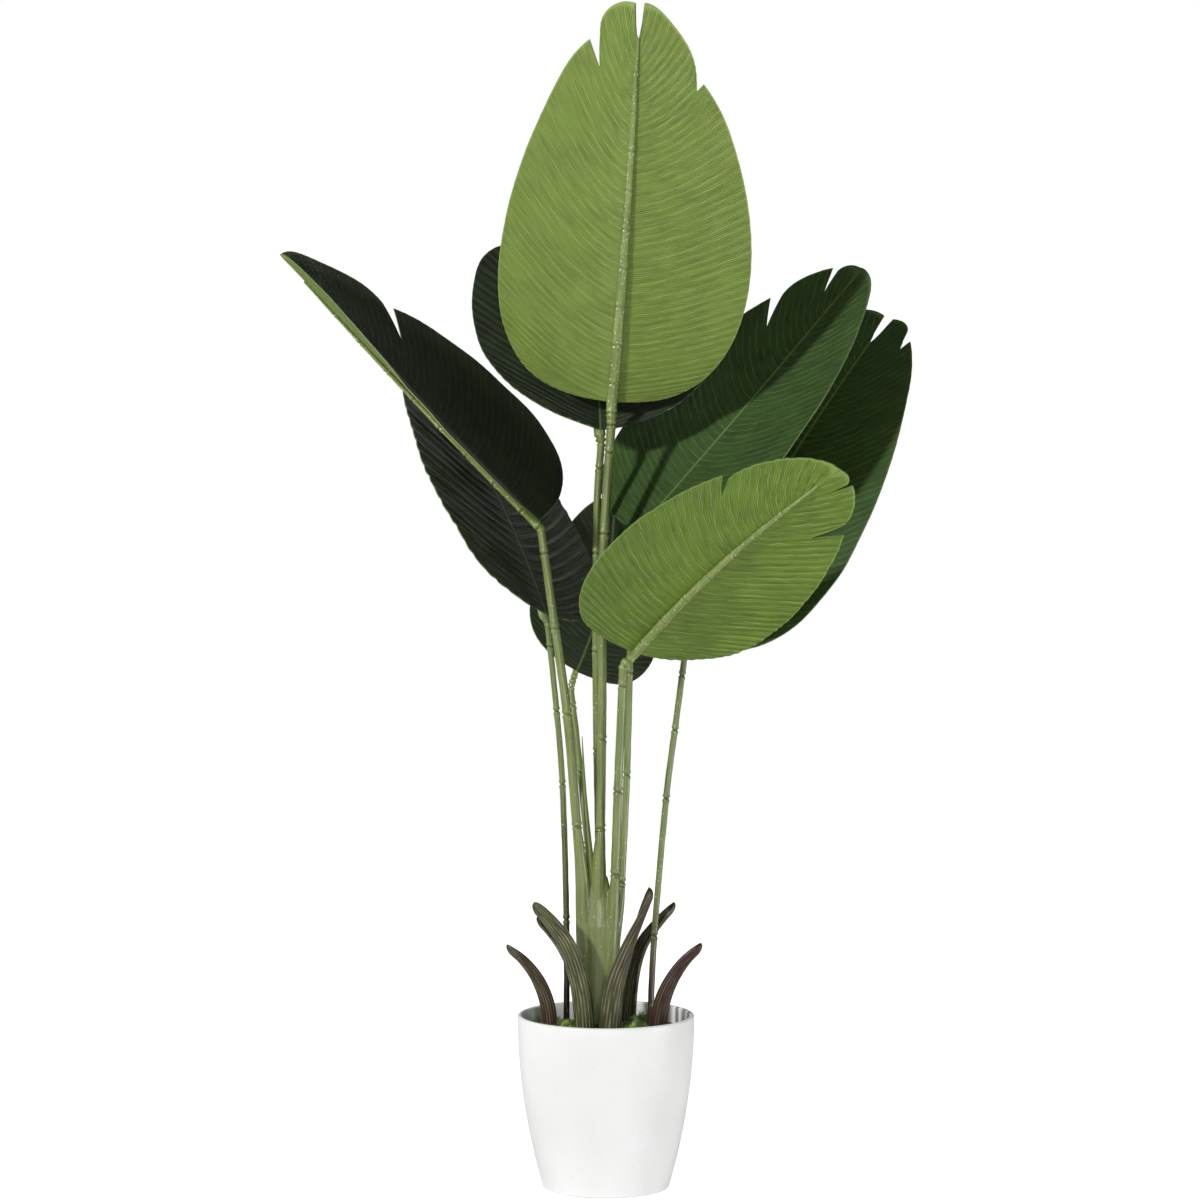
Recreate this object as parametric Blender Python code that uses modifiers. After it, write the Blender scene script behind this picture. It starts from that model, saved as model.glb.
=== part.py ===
"""Artificial banana plant in a round pot: the construction of every piece.

Metres, +Z up. The origin is the centre of the pot's flat base, and the plant's
front faces -Y. Each stem stands in the trunk or in the planting fill, and each
leaf's moulded midrib plugs into the socket at the top of its stem.

Run it with: blender --background --python part.py
"""

import math
from dataclasses import dataclass

import bmesh
import bpy
from mathutils import Matrix, Vector, noise

# ---------------------------------------------------------------- clearances
SEAT_GAP = 0.0003
MERGE_DISTANCE = 0.00001
SMOOTH_BELOW = math.radians(35)
CUTTER_SIDES = 16

# ---------------------------------------------------------------- pot
POT_HEIGHT = 0.175
POT_RIM_RADIUS = 0.0895
POT_BASE_RADIUS = 0.0640
POT_WALL = 0.0050
POT_FLOOR = 0.0060
POT_LIP = 0.00125
POT_FOOT_HEIGHT = 0.0025
POT_FOOT_FLARE = 0.0006
POT_FOOT_CHAMFER = 0.0020
POT_PROFILE_STEPS = 7
POT_TURN_STEPS = 48

# ---------------------------------------------------------------- planting fill
FILL_TOP = 0.158
FILL_BOTTOM = POT_FLOOR + SEAT_GAP
PLANTED_DEPTH = 0.018
TRUNK_HOLE_DEPTH = 0.065

# ---------------------------------------------------------------- stems
PIN_LENGTH = 0.012
PIN_TO_STEM = 0.55
SHOULDER = 0.0002
STRAIGHT_END = 0.004
STEM_SAMPLES = 3

# ---------------------------------------------------------------- trunk
TRUNK_CENTRE = Vector((-0.006, 0.0, 0.0))
TRUNK_PEG_RADIUS = 0.0160
TRUNK_PEG_SIDES = 24
TRUNK_FOOT = 0.161
PEG_SHOULDER = 0.007

# ---------------------------------------------------------------- leaf blades
BLADE_THICKNESS = 0.0014
BLADE_EGG = 0.36
BLADE_SHOULDER = 0.70
BLADE_POINT = 0.92
VEIN_SWEEP = 0.13
VEIN_BOW = 1.6
MIDRIB_END = 0.90
BLADE_VEINS = 16
BLADE_STEPS = 3
NOTCH_SPREAD = 0.09
NOTCH_ROUND = 0.08
TIP_ROUND_START = 0.88
TIP_ROUND = 0.12
TIP_SPLIT_POWER = 12

# ---------------------------------------------------------------- midribs
RIB_BASE_TO_LENGTH = 0.0112
RIB_TIP_RADIUS = 0.0014
RIB_TAPER_POWER = 1.4
RIB_SAMPLES = 11
RIB_CLEARANCE = 0.0006

# ---------------------------------------------------------------- basal leaves
STRAP_THICKNESS = 0.0016
STRAP_OPENING = math.radians(80)
STRAP_SAMPLES = 2
SLOT_CLEARANCE = 0.00045
STRAP_CROSS_STEPS = 5
STRAP_TAPER = 0.40
STRAP_TIP_RING = 0.25
STRAP_TIP_WIDTHS = (0.0, 0.62, 0.90)


@dataclass(frozen=True)
class Stem:
    """A stem, from the socket at its top down to its foot, and its radii there."""

    route: tuple
    top_radius: float
    foot_radius: float


@dataclass(frozen=True)
class Notch:
    """A tear along a vein. The lobe on the tip side is drawn back and rounded.

    side: -1 on the left half, 1 on the right, seen on the upper face, tip up.
    at: the vein, from 0 at the blade's base to 1 at its tip.
    start: where on the vein the tear begins, from 0 at the midrib to 1 at the margin.
    gap: how far the tip-side lobe is drawn back at the margin, in veins as at is.
    """

    side: int
    at: float
    start: float
    gap: float


@dataclass(frozen=True)
class Leaf:
    """A blade laid along a midrib from base to tip.

    facing: azimuth from the front and elevation of the upper face, in degrees.
    folds: how steeply the left and right halves rise from the midrib, in degrees.
    curls: how much steeper they are at the margin, in degrees.
    arch, sway: how far the midrib bows towards the upper face and to the right.
    twist: how far the blade turns about its midrib from base to tip, in degrees.
    tip_gap: how far apart the two halves stand where the tip is split.
    """

    base: tuple
    tip: tuple
    facing: tuple
    width: float
    folds: tuple
    curls: tuple
    arch: float = 0.0
    sway: float = 0.0
    twist: float = 0.0
    tip_gap: float = 0.0
    notches: tuple = ()

    def length(self):
        return (Vector(self.tip) - Vector(self.base)).length

    def section(self, along):
        """The midrib's point there, and the directions to the right and out of the upper face."""
        base, tip = Vector(self.base), Vector(self.tip)
        azimuth, elevation = (math.radians(angle) for angle in self.facing)
        face = Vector((
            math.sin(azimuth) * math.cos(elevation),
            -math.cos(azimuth) * math.cos(elevation),
            math.sin(elevation),
        ))
        ahead = (tip - base).normalized()
        right = ahead.cross(face).normalized()
        upper = right.cross(ahead)
        bow = 4 * along * (1 - along)
        point = base.lerp(tip, along) + upper * self.arch * bow + right * self.sway * bow
        turn = Matrix.Rotation(-math.radians(self.twist) * (along - 0.5), 3, ahead)
        return point, turn @ right, turn @ upper

    def place(self, side, across, along):
        """The point of the blade's middle surface at a distance across from the midrib."""
        point, right, upper = self.section(along)
        half = 0 if side < 0 else 1
        angle = math.radians(self.folds[half] + self.curls[half] * across / self.width)
        return point + right * side * across * math.cos(angle) + upper * across * math.sin(angle)

    def vein(self, side, vein, out, tipward):
        """The point a share out along one vein. tipward picks the lobe at a notch's edge."""
        for notch in self.notches:
            past = vein - notch.at
            on_edge = abs(past) < MERGE_DISTANCE
            if notch.side != side or (not tipward if on_edge else past < 0):
                continue
            past = max(0.0, past)
            reach = max(0.0, (out - notch.start) / (1 - notch.start))
            nearness = max(0.0, 1 - past / NOTCH_SPREAD)
            vein += notch.gap * reach * nearness ** 2
            out *= 1 - NOTCH_ROUND * reach * nearness ** 2
        if self.tip_gap and vein > TIP_ROUND_START:
            out *= 1 - TIP_ROUND * ((vein - TIP_ROUND_START) / (1 - TIP_ROUND_START)) ** 2
        turn = math.pi * min(1.0, vein)
        swell = max(0.0, math.sin(turn)) ** (BLADE_SHOULDER + (BLADE_POINT - BLADE_SHOULDER) * vein)
        margin_across = self.width / 2 * swell * (1 + BLADE_EGG * math.cos(turn))
        margin_along = (1 - math.cos(turn)) / 2
        root_along = max(0.0, margin_along * MIDRIB_END - VEIN_SWEEP * math.sin(turn))
        across = max(margin_across, self.tip_gap / 2 * vein ** TIP_SPLIT_POWER) * out
        along = root_along + (margin_along - root_along) * out ** VEIN_BOW
        return self.place(side, across, along)


LEAVES = {
    "crown": Leaf(
        base=(0.006, -0.010, 0.793), tip=(0.033, -0.109, 1.184), facing=(171, 9), width=0.238,
        folds=(13, 14), curls=(-10, -15), arch=0.002, sway=-0.002, twist=10, tip_gap=0.014,
        notches=(Notch(1, 0.795, 0.72, 0.040), Notch(-1, 0.715, 0.86, 0.022)),
    ),
    "back": Leaf(
        base=(-0.006, 0.015, 0.765), tip=(-0.005, 0.281, 1.087), facing=(2, 25), width=0.258,
        folds=(22, 22), curls=(-10, 7), arch=-0.017, sway=-0.002, twist=10,
        notches=(Notch(-1, 0.56, 0.66, 0.050),),
    ),
    "left_high": Leaf(
        base=(-0.068, 0.000, 0.673), tip=(-0.327, 0.019, 0.941), facing=(35, 81), width=0.222,
        folds=(23, 20), curls=(-9, 7), arch=-0.002, sway=-0.001, twist=-7,
        notches=(Notch(1, 0.645, 0.61, 0.026),),
    ),
    "left_low": Leaf(
        base=(-0.061, 0.020, 0.580), tip=(-0.204, 0.211, 0.848), facing=(149, 74), width=0.228,
        folds=(1, 1), curls=(-8, 11), arch=0.009, sway=0.005, twist=5,
        notches=(Notch(1, 0.70, 0.70, 0.030),),
    ),
    "low_back": Leaf(
        base=(-0.030, 0.095, 0.516), tip=(0.009, 0.255, 0.686), facing=(27, 14), width=0.141,
        folds=(4, 4), curls=(-14, -10), arch=0.003, sway=0.009,
    ),
    "right_mid": Leaf(
        base=(0.031, 0.010, 0.662), tip=(0.262, 0.080, 0.929), facing=(0, 63), width=0.205,
        folds=(7, 10), curls=(-6, 5), arch=-0.001, sway=0.001, twist=-4,
        notches=(Notch(-1, 0.700, 0.67, 0.030), Notch(-1, 0.875, 0.59, 0.025)),
    ),
    "far_right": Leaf(
        base=(0.083, 0.030, 0.552), tip=(0.300, 0.174, 0.885), facing=(-5, 46), width=0.244,
        folds=(10, 14), curls=(0, 3), arch=0.016, sway=-0.002, twist=2, tip_gap=0.014,
        notches=(Notch(1, 0.835, 0.85, 0.035),),
    ),
    "front_right": Leaf(
        base=(0.028, -0.020, 0.543), tip=(0.222, -0.216, 0.730), facing=(187, 35), width=0.200,
        folds=(3, 3), curls=(-14, -15), arch=0.002, sway=0.009, twist=21,
        notches=(
            Notch(1, 0.668, 0.73, 0.015), Notch(-1, 0.705, 0.68, 0.030), Notch(-1, 0.895, 0.56, 0.015),
        ),
    ),
}

STEMS = {
    "crown": Stem(
        ((0.0050, -0.011, 0.766), (-0.001, -0.012, 0.675), (-0.004, -0.011, 0.595),
         (-0.004, -0.009, 0.500), (-0.0055, -0.006, 0.362)), 0.0046, 0.0048,
    ),
    "back": Stem(
        ((-0.0050, 0.016, 0.748), (-0.009, 0.018, 0.685), (-0.010, 0.018, 0.552),
         (-0.009, 0.016, 0.451), (-0.007, 0.010, 0.340)), 0.0038, 0.0040,
    ),
    "left_high": Stem(
        ((-0.0650, 0.000, 0.663), (-0.053, -0.004, 0.579), (-0.039, -0.008, 0.479),
         (-0.029, -0.010, 0.364)), 0.0042, 0.0048,
    ),
    "left_low": Stem(
        ((-0.0590, 0.022, 0.567), (-0.051, 0.020, 0.492), (-0.044, 0.018, 0.406),
         (-0.040, 0.012, 0.268), (-0.040, 0.010, 0.1403)), 0.0030, 0.0032,
    ),
    "low_back": Stem(
        ((-0.0354, 0.086, 0.496), (-0.030, 0.065, 0.452), (-0.025, 0.042, 0.404),
         (-0.018, 0.013, 0.340)), 0.0029, 0.0034,
    ),
    "right_mid": Stem(
        ((0.0280, 0.010, 0.642), (0.026, 0.010, 0.594), (0.024, 0.009, 0.527),
         (0.021, 0.008, 0.416), (0.016, 0.006, 0.304)), 0.0034, 0.0036,
    ),
    "far_right": Stem(
        ((0.0800, 0.030, 0.537), (0.070, 0.028, 0.461), (0.061, 0.025, 0.390),
         (0.049, 0.018, 0.251), (0.044, 0.012, 0.1403)), 0.0032, 0.0033,
    ),
    "front_right": Stem(
        ((0.0170, -0.022, 0.526), (0.015, -0.020, 0.475), (0.012, -0.017, 0.402),
         (0.009, -0.012, 0.316)), 0.0042, 0.0046,
    ),
}

# Each stem's column in the trunk: centres and radii from below its socket down to the foot.
COLUMNS = {
    "crown": (
        ((-0.0075, -0.005, 0.317), 0.0078), ((-0.008, -0.004, 0.250), 0.0100),
        ((-0.006, -0.002), 0.0095),
    ),
    "back": (
        ((-0.0070, 0.011, 0.300), 0.0050), ((-0.006, 0.011, 0.250), 0.0072),
        ((-0.005, 0.009), 0.0080),
    ),
    "left_high": (
        ((-0.0245, -0.009, 0.317), 0.0066), ((-0.021, -0.006, 0.250), 0.0092),
        ((-0.016, -0.004), 0.0092),
    ),
    "low_back": (
        ((-0.0165, 0.010, 0.300), 0.0045), ((-0.015, 0.009, 0.250), 0.0070),
        ((-0.012, 0.008), 0.0080),
    ),
    "right_mid": (
        ((0.0135, 0.006, 0.280), 0.0050), ((0.0095, 0.006, 0.250), 0.0055),
        ((0.003, 0.006), 0.0080),
    ),
    "front_right": (
        ((0.0080, -0.011, 0.295), 0.0055), ((0.005, -0.009, 0.250), 0.0072),
        ((0.000, -0.007), 0.0085),
    ),
}
# The young shoot beside the columns, from its tip down: centres and radii.
SPEAR = (
    ((-0.024, -0.0040, 0.457), 0.0004), ((-0.021, -0.0040, 0.393), 0.0022),
    ((-0.016, -0.0035, 0.330), 0.0042), ((-0.012, -0.0040, 0.280), 0.0050),
)


@dataclass(frozen=True)
class Strap:
    """A basal leaf: its route from where it leaves the fill to its tip, and its width there.

    foot_opening, tip_opening: which way the channel opens at the two ends.
    """

    route: tuple
    width: float
    foot_opening: tuple
    tip_opening: tuple


STRAPS = {
    "front_left": Strap(
        ((-0.0200, -0.031, 0.158), (-0.024, -0.032, 0.205), (-0.037, -0.035, 0.249),
         (-0.053, -0.040, 0.274), (-0.0715, -0.045, 0.2945)),
        0.0205, (0.35, 0.90, 0.10), (0.30, 0.75, 0.60),
    ),
    "front_right": Strap(
        ((0.0025, -0.036, 0.158), (0.006, -0.036, 0.208), (0.017, -0.037, 0.249),
         (0.030, -0.039, 0.281), (0.043, -0.041, 0.309)),
        0.0225, (-0.40, 0.90, 0.10), (-0.95, -0.25, 0.30),
    ),
    "rear_left": Strap(
        ((-0.022, 0.033, 0.158), (-0.028, 0.033, 0.208), (-0.039, 0.034, 0.235),
         (-0.054, 0.036, 0.255), (-0.0695, 0.038, 0.269)),
        0.018, (0.30, -0.90, 0.20), (0.40, -0.60, 0.70),
    ),
    "rear_right": Strap(
        ((0.020, 0.033, 0.158), (0.0245, 0.032, 0.208), (0.034, 0.031, 0.241),
         (0.051, 0.032, 0.265), (0.0695, 0.034, 0.284)),
        0.018, (-0.50, -0.80, 0.20), (-0.75, -0.30, 0.60),
    ),
    "left": Strap(
        ((-0.055, -0.010, 0.158), (-0.058, -0.010, 0.188), (-0.067, -0.012, 0.213),
         (-0.081, -0.016, 0.233), (-0.099, -0.020, 0.2485)),
        0.0165, (0.45, 0.85, 0.20), (0.45, 0.55, 0.70),
    ),
    "right": Strap(
        ((0.051, -0.008, 0.158), (0.055, -0.008, 0.188), (0.064, -0.010, 0.212),
         (0.078, -0.013, 0.233), (0.0955, -0.016, 0.2495)),
        0.0185, (-0.45, 0.85, 0.20), (-0.45, 0.55, 0.70),
    ),
}

# Moss clumps on the fill: centre, radius and height.
MOSS = (
    ((-0.040, -0.024), 0.0085, 0.019),
    ((0.027, -0.021), 0.0110, 0.020),
    ((0.034, 0.052), 0.0120, 0.013),
    ((-0.008, 0.050), 0.0130, 0.012),
    ((-0.058, 0.034), 0.0100, 0.011),
)
MOSS_LUMPS = 0.25
MOSS_LUMP_SIZE = 0.006

# ---------------------------------------------------------------- scene helpers


def clear_scene():
    for obj in list(bpy.data.objects):
        bpy.data.objects.remove(obj, do_unlink=True)


def collection(name, parent=None):
    made = bpy.data.collections.new(name)
    (parent or bpy.context.scene.collection).children.link(made)
    return made


def material(name, colour, roughness):
    made = bpy.data.materials.new(name)
    made.use_nodes = True
    shader = made.node_tree.nodes["Principled BSDF"]
    shader.inputs["Base Color"].default_value = (*colour, 1.0)
    shader.inputs["Roughness"].default_value = roughness
    shader.inputs["Metallic"].default_value = 0.0
    return made


def new_object(name, mesh, group, finish=None):
    made = bpy.data.objects.new(name, mesh)
    group.objects.link(made)
    if finish:
        mesh.materials.append(finish)
    mesh.shade_smooth()
    mesh.set_sharp_from_angle(angle=SMOOTH_BELOW)
    return made


def mesh_from(bm, name):
    mesh = bpy.data.meshes.new(name)
    bm.to_mesh(mesh)
    bm.free()
    return mesh


def helper(obj):
    """Marks a cutter or a shape that only feeds a Boolean."""
    obj.hide_render = True
    obj.display_type = "WIRE"
    return obj


def boolean(obj, operation, operand):
    modifier = obj.modifiers.new(operation.title(), "BOOLEAN")
    modifier.operation = operation
    if isinstance(operand, bpy.types.Collection):
        modifier.operand_type = "COLLECTION"
        modifier.collection = operand
    else:
        modifier.object = operand


def cylinder(name, foot, direction, radius, length, group, sides=CUTTER_SIDES):
    """A helper cylinder that starts at foot and runs along direction."""
    bm = bmesh.new()
    bmesh.ops.create_cone(
        bm, cap_ends=True, segments=sides, radius1=radius, radius2=radius, depth=length,
        matrix=Matrix.Translation((0, 0, length / 2)),
    )
    turn = Vector(direction).to_track_quat("Z", "Y").to_matrix().to_4x4()
    bmesh.ops.transform(bm, matrix=Matrix.Translation(foot) @ turn, verts=bm.verts)
    return helper(new_object(name, mesh_from(bm, name), group))


# ---------------------------------------------------------------- routes and tubes


def through(points, samples):
    """Points on a smooth curve through the given ones, with so many steps between each two."""
    points = [Vector(point) for point in points]
    ends = [2 * points[0] - points[1]] + points + [2 * points[-1] - points[-2]]
    smooth = [points[0]]
    for before, start, end, after in zip(ends, ends[1:], ends[2:], ends[3:]):
        for step in range(1, samples + 1):
            t = step / samples
            smooth.append(0.5 * (
                2 * start + (end - before) * t
                + (2 * before - 5 * start + 4 * end - after) * t ** 2
                + (3 * start - before - 3 * end + after) * t ** 3
            ))
    return smooth


def tube(name, points, radii, group, finish, resolution=2):
    """A round rod through the points as a closed mesh, made from a bevelled curve."""
    curve = bpy.data.curves.new(name, "CURVE")
    curve.dimensions = "3D"
    curve.bevel_depth = 1.0
    curve.bevel_resolution = resolution
    curve.use_fill_caps = True
    spline = curve.splines.new("POLY")
    spline.points.add(len(points) - 1)
    for knot, point, radius in zip(spline.points, points, radii):
        knot.co = (*point, 1.0)
        knot.radius = radius
    guide = bpy.data.objects.new(name + "_guide", curve)
    group.objects.link(guide)
    bpy.context.view_layer.update()
    graph = bpy.context.evaluated_depsgraph_get()
    mesh = bpy.data.meshes.new_from_object(guide.evaluated_get(graph))
    bpy.data.objects.remove(guide)
    bm = bmesh.new()
    bm.from_mesh(mesh)
    bmesh.ops.remove_doubles(bm, verts=bm.verts, dist=MERGE_DISTANCE)
    bmesh.ops.recalc_face_normals(bm, faces=bm.faces)
    bpy.data.meshes.remove(mesh)
    return new_object(name, mesh_from(bm, name), group, finish)


# ---------------------------------------------------------------- pot and fill


def pot_outer_radius(height):
    share = height / POT_HEIGHT
    return POT_BASE_RADIUS + (POT_RIM_RADIUS - POT_BASE_RADIUS) * (1 - (1 - share) ** 2)


def turned(name, profile, group, finish):
    """A solid turned round Z from (radius, height) points that run down its outer side."""
    bm = bmesh.new()
    knots = [bm.verts.new((radius, 0, height)) for radius, height in profile]
    for first, second in zip(knots, knots[1:]):
        bm.edges.new((first, second))
    made = new_object(name, mesh_from(bm, name), group, finish)
    screw = made.modifiers.new("Turn", "SCREW")
    screw.steps = POT_TURN_STEPS
    screw.render_steps = POT_TURN_STEPS
    screw.use_merge_vertices = True
    screw.merge_threshold = 0.0001
    return made


def build_pot(group, finish):
    heights = [POT_HEIGHT * step / POT_PROFILE_STEPS for step in range(POT_PROFILE_STEPS + 1)]
    inner = [(pot_outer_radius(height) - POT_WALL, height) for height in heights[1:]]
    outer = [(pot_outer_radius(height), height) for height in reversed(heights[1:])]
    floor_radius = pot_outer_radius(POT_FLOOR) - POT_WALL
    rim = [
        (inner[-1][0], POT_HEIGHT - POT_LIP), (inner[-1][0] + POT_LIP, POT_HEIGHT),
        (outer[0][0] - POT_LIP, POT_HEIGHT), (outer[0][0], POT_HEIGHT - POT_LIP),
    ]
    foot = [
        (POT_BASE_RADIUS + POT_FOOT_FLARE, POT_FOOT_HEIGHT),
        (POT_BASE_RADIUS - POT_FOOT_CHAMFER, 0.0), (0.0, 0.0),
    ]
    profile = [(0.0, POT_FLOOR), (floor_radius, POT_FLOOR)] + inner[:-1] + rim + outer[1:] + foot
    return turned("pot", profile, group, finish)


def build_fill(group, helpers, finish):
    """The planting fill that holds the trunk's peg and the two outer stems."""
    def radius(height):
        return pot_outer_radius(height) - POT_WALL - SEAT_GAP

    # The fill's sides follow the pot's own profile points, so the two never cross.
    steps = [POT_HEIGHT * step / POT_PROFILE_STEPS for step in range(1, POT_PROFILE_STEPS)]
    sides = [(radius(height), height) for height in reversed(steps) if height < FILL_TOP]
    below, above = sides[0], (radius(POT_HEIGHT), POT_HEIGHT)
    share = (FILL_TOP - below[1]) / (above[1] - below[1])
    brim = (below[0] + (above[0] - below[0]) * share, FILL_TOP)
    profile = [(0.0, FILL_TOP), brim] + sides
    profile += [(radius(POT_FLOOR), FILL_BOTTOM), (0.0, FILL_BOTTOM)]
    fill = turned("planting_fill", profile, group, finish)
    holes = collection("planting_holes", helpers)
    foot = TRUNK_CENTRE + Vector((0, 0, FILL_TOP - TRUNK_HOLE_DEPTH))
    hole_radius = TRUNK_PEG_RADIUS + SEAT_GAP
    cylinder("trunk_hole", foot, (0, 0, 1), hole_radius, TRUNK_HOLE_DEPTH * 2, holes, TRUNK_PEG_SIDES)
    for name, stem in STEMS.items():
        if name in COLUMNS:
            continue
        points = through(stem.route, STEM_SAMPLES)
        up = (points[-2] - points[-1]).normalized()
        hole_radius = stem.foot_radius + SEAT_GAP
        cylinder(name + "_hole", points[-1] - up * SEAT_GAP, up, hole_radius, PLANTED_DEPTH * 2, holes)
    for name, strap in STRAPS.items():
        helper(build_strap(name + "_slot", strap, holes, None, SLOT_CLEARANCE))
    boolean(fill, "DIFFERENCE", holes)
    return fill


def build_moss(group, finish):
    clumps = []
    for number, (centre, radius, height) in enumerate(MOSS, start=1):
        bm = bmesh.new()
        bmesh.ops.create_icosphere(bm, subdivisions=2, radius=1.0)
        bmesh.ops.scale(bm, vec=(radius, radius, height / 2), verts=bm.verts)
        for vert in bm.verts:
            lump = noise.noise((vert.co + Vector((number, 0, 0))) / MOSS_LUMP_SIZE)
            vert.co *= 1 - MOSS_LUMPS * abs(lump)
        foot = min(vert.co.z for vert in bm.verts)
        place = Vector((*centre, FILL_TOP + SEAT_GAP - foot))
        bmesh.ops.translate(bm, vec=place, verts=bm.verts)
        clumps.append(new_object(f"moss_{number}", mesh_from(bm, f"moss_{number}"), group, finish))
    return clumps


# ---------------------------------------------------------------- trunk and stems


def build_trunk(group, helpers, finish):
    """The moulded trunk: fused columns on a peg, with a socket in each column's top."""
    columns = collection("trunk_columns", helpers)
    bores = collection("trunk_bores", helpers)
    for order, (name, sections) in enumerate(COLUMNS.items()):
        joint, down = stem_foot(name)
        top_radius = STEMS[name].foot_radius
        foot_height = TRUNK_FOOT + order * SEAT_GAP
        (upper, upper_radius), (middle, middle_radius), (foot, foot_radius) = sections
        centres = (joint, joint + down * STRAIGHT_END, upper, middle, (*foot, foot_height))
        radii = (top_radius, top_radius, upper_radius, middle_radius, foot_radius)
        helper(tube(name + "_column", centres, radii, columns, None))
        bore(name + "_bore", joint, down, top_radius, bores)
    spear_centres, spear_radii = zip(*SPEAR)
    helper(tube("spear", spear_centres, spear_radii, columns, None))
    bm = bmesh.new()
    peg_foot = FILL_TOP - TRUNK_HOLE_DEPTH + SEAT_GAP
    peg_length = FILL_TOP + PEG_SHOULDER - peg_foot
    centre = TRUNK_CENTRE + Vector((0, 0, peg_foot + peg_length / 2))
    bmesh.ops.create_cone(
        bm, cap_ends=True, segments=TRUNK_PEG_SIDES, radius1=TRUNK_PEG_RADIUS,
        radius2=TRUNK_PEG_RADIUS, depth=peg_length, matrix=Matrix.Translation(centre),
    )
    trunk = new_object("trunk", mesh_from(bm, "trunk"), group, finish)
    boolean(trunk, "UNION", columns)
    boolean(trunk, "DIFFERENCE", bores)
    return trunk


def plug(joint, down, radius):
    """The end of a rod that plugs into a socket: points and radii from above it to its pin's end."""
    points = [
        joint - down * STRAIGHT_END, joint - down * (SEAT_GAP + SHOULDER),
        joint - down * SEAT_GAP, joint + down * PIN_LENGTH,
    ]
    return points, [radius, radius, radius * PIN_TO_STEM, radius * PIN_TO_STEM]


def bore(name, joint, down, radius, group):
    """The cutter for the socket that takes such a pin."""
    foot = joint + down * (PIN_LENGTH + SEAT_GAP)
    return cylinder(name, foot, -down, radius * PIN_TO_STEM + SEAT_GAP, PIN_LENGTH * 2, group)


def stem_top(name):
    """The middle of a stem's top, and the direction down the stem there."""
    points = through(STEMS[name].route, STEM_SAMPLES)
    return points[0], (points[1] - points[0]).normalized()


def stem_foot(name):
    """The middle of a stem's foot, and the direction it points in there."""
    above, foot = (Vector(point) for point in STEMS[name].route[-2:])
    return foot, (foot - above).normalized()


def build_stem(name, stem, group, helpers, finish):
    """A stem with a socket in its top, and a pin at its foot if it stands in the trunk."""
    points = through(stem.route, STEM_SAMPLES)
    last = len(points) - 1
    slope = (stem.foot_radius - stem.top_radius) / last
    radii = [stem.top_radius + slope * step for step in range(last + 1)]
    if name in COLUMNS:
        pin_points, pin_radii = plug(*stem_foot(name), stem.foot_radius)
        points = points[:-1] + pin_points
        radii = radii[:-1] + pin_radii
    rod = tube("stem_" + name, points, radii, group, finish)
    boolean(rod, "DIFFERENCE", bore(name + "_socket", *stem_top(name), stem.top_radius, helpers))
    return rod


# ---------------------------------------------------------------- leaves


def half_blade(bm, leaf, side):
    """Adds one half of a blade: a grid whose columns are veins, split at each notch."""
    made = bmesh.ops.create_grid(bm, x_segments=BLADE_VEINS, y_segments=BLADE_STEPS, size=0.5)
    verts = made["verts"]
    for vert in verts:
        vert.co.x += 0.5
        vert.co.y += 0.5
    for notch in leaf.notches:
        if notch.side != side:
            continue
        column = round(notch.at * BLADE_VEINS) / BLADE_VEINS
        apex = min(BLADE_STEPS - 1, max(1, round(notch.start * BLADE_STEPS)))
        tear = [vert for vert in verts if abs(vert.co.x - column) < MERGE_DISTANCE]
        open_part = set()
        for vert in tear:
            row = round(vert.co.y * BLADE_STEPS)
            if row > 0:
                vert.co.x = notch.at
            if row >= apex:
                beyond = (row - apex) / (BLADE_STEPS - apex)
                vert.co.y = notch.start + (1 - notch.start) * beyond
                open_part.add(vert)
        edges = {edge for vert in open_part for edge in vert.link_edges}
        split = [edge for edge in edges if all(vert in open_part for vert in edge.verts)]
        result = bmesh.ops.split_edges(bm, edges=split)
        verts = list({*verts, *(vert for edge in result["edges"] for vert in edge.verts)})
    places = {}
    for vert in verts:
        middle = sum(face.calc_center_median().x for face in vert.link_faces) / len(vert.link_faces)
        vein, out = min(1.0, vert.co.x), min(1.0, vert.co.y)
        places[vert] = leaf.vein(side, vein, out, middle > vert.co.x)
    for vert, place in places.items():
        vert.co = place


def build_blade(name, leaf, group, finish):
    """A leaf blade: two halves joined along the midrib line, given its thickness."""
    bm = bmesh.new()
    for side in (-1, 1):
        half_blade(bm, leaf, side)
    bmesh.ops.remove_doubles(bm, verts=bm.verts, dist=MERGE_DISTANCE)
    bmesh.ops.recalc_face_normals(bm, faces=bm.faces)
    blade = new_object("blade_" + name, mesh_from(bm, "blade_" + name), group, finish)
    shell = blade.modifiers.new("Thickness", "SOLIDIFY")
    shell.thickness = BLADE_THICKNESS
    shell.offset = 0.0
    return blade


def build_midrib(name, leaf, group, finish):
    """The midrib under the blade, with the neck and the pin that plugs into the stem."""
    points, radii = plug(*stem_top(name), STEMS[name].top_radius)
    points.reverse()
    radii.reverse()
    base_radius = RIB_BASE_TO_LENGTH * leaf.length()
    for step in range(RIB_SAMPLES + 1):
        share = step / RIB_SAMPLES
        radius = base_radius + (RIB_TIP_RADIUS - base_radius) * share ** RIB_TAPER_POWER
        point, _, upper = leaf.section(MIDRIB_END * share)
        points.append(point - upper * (radius + BLADE_THICKNESS / 2 + RIB_CLEARANCE))
        radii.append(radius)
    return tube("midrib_" + name, points, radii, group, finish)


# ---------------------------------------------------------------- basal leaves


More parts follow.
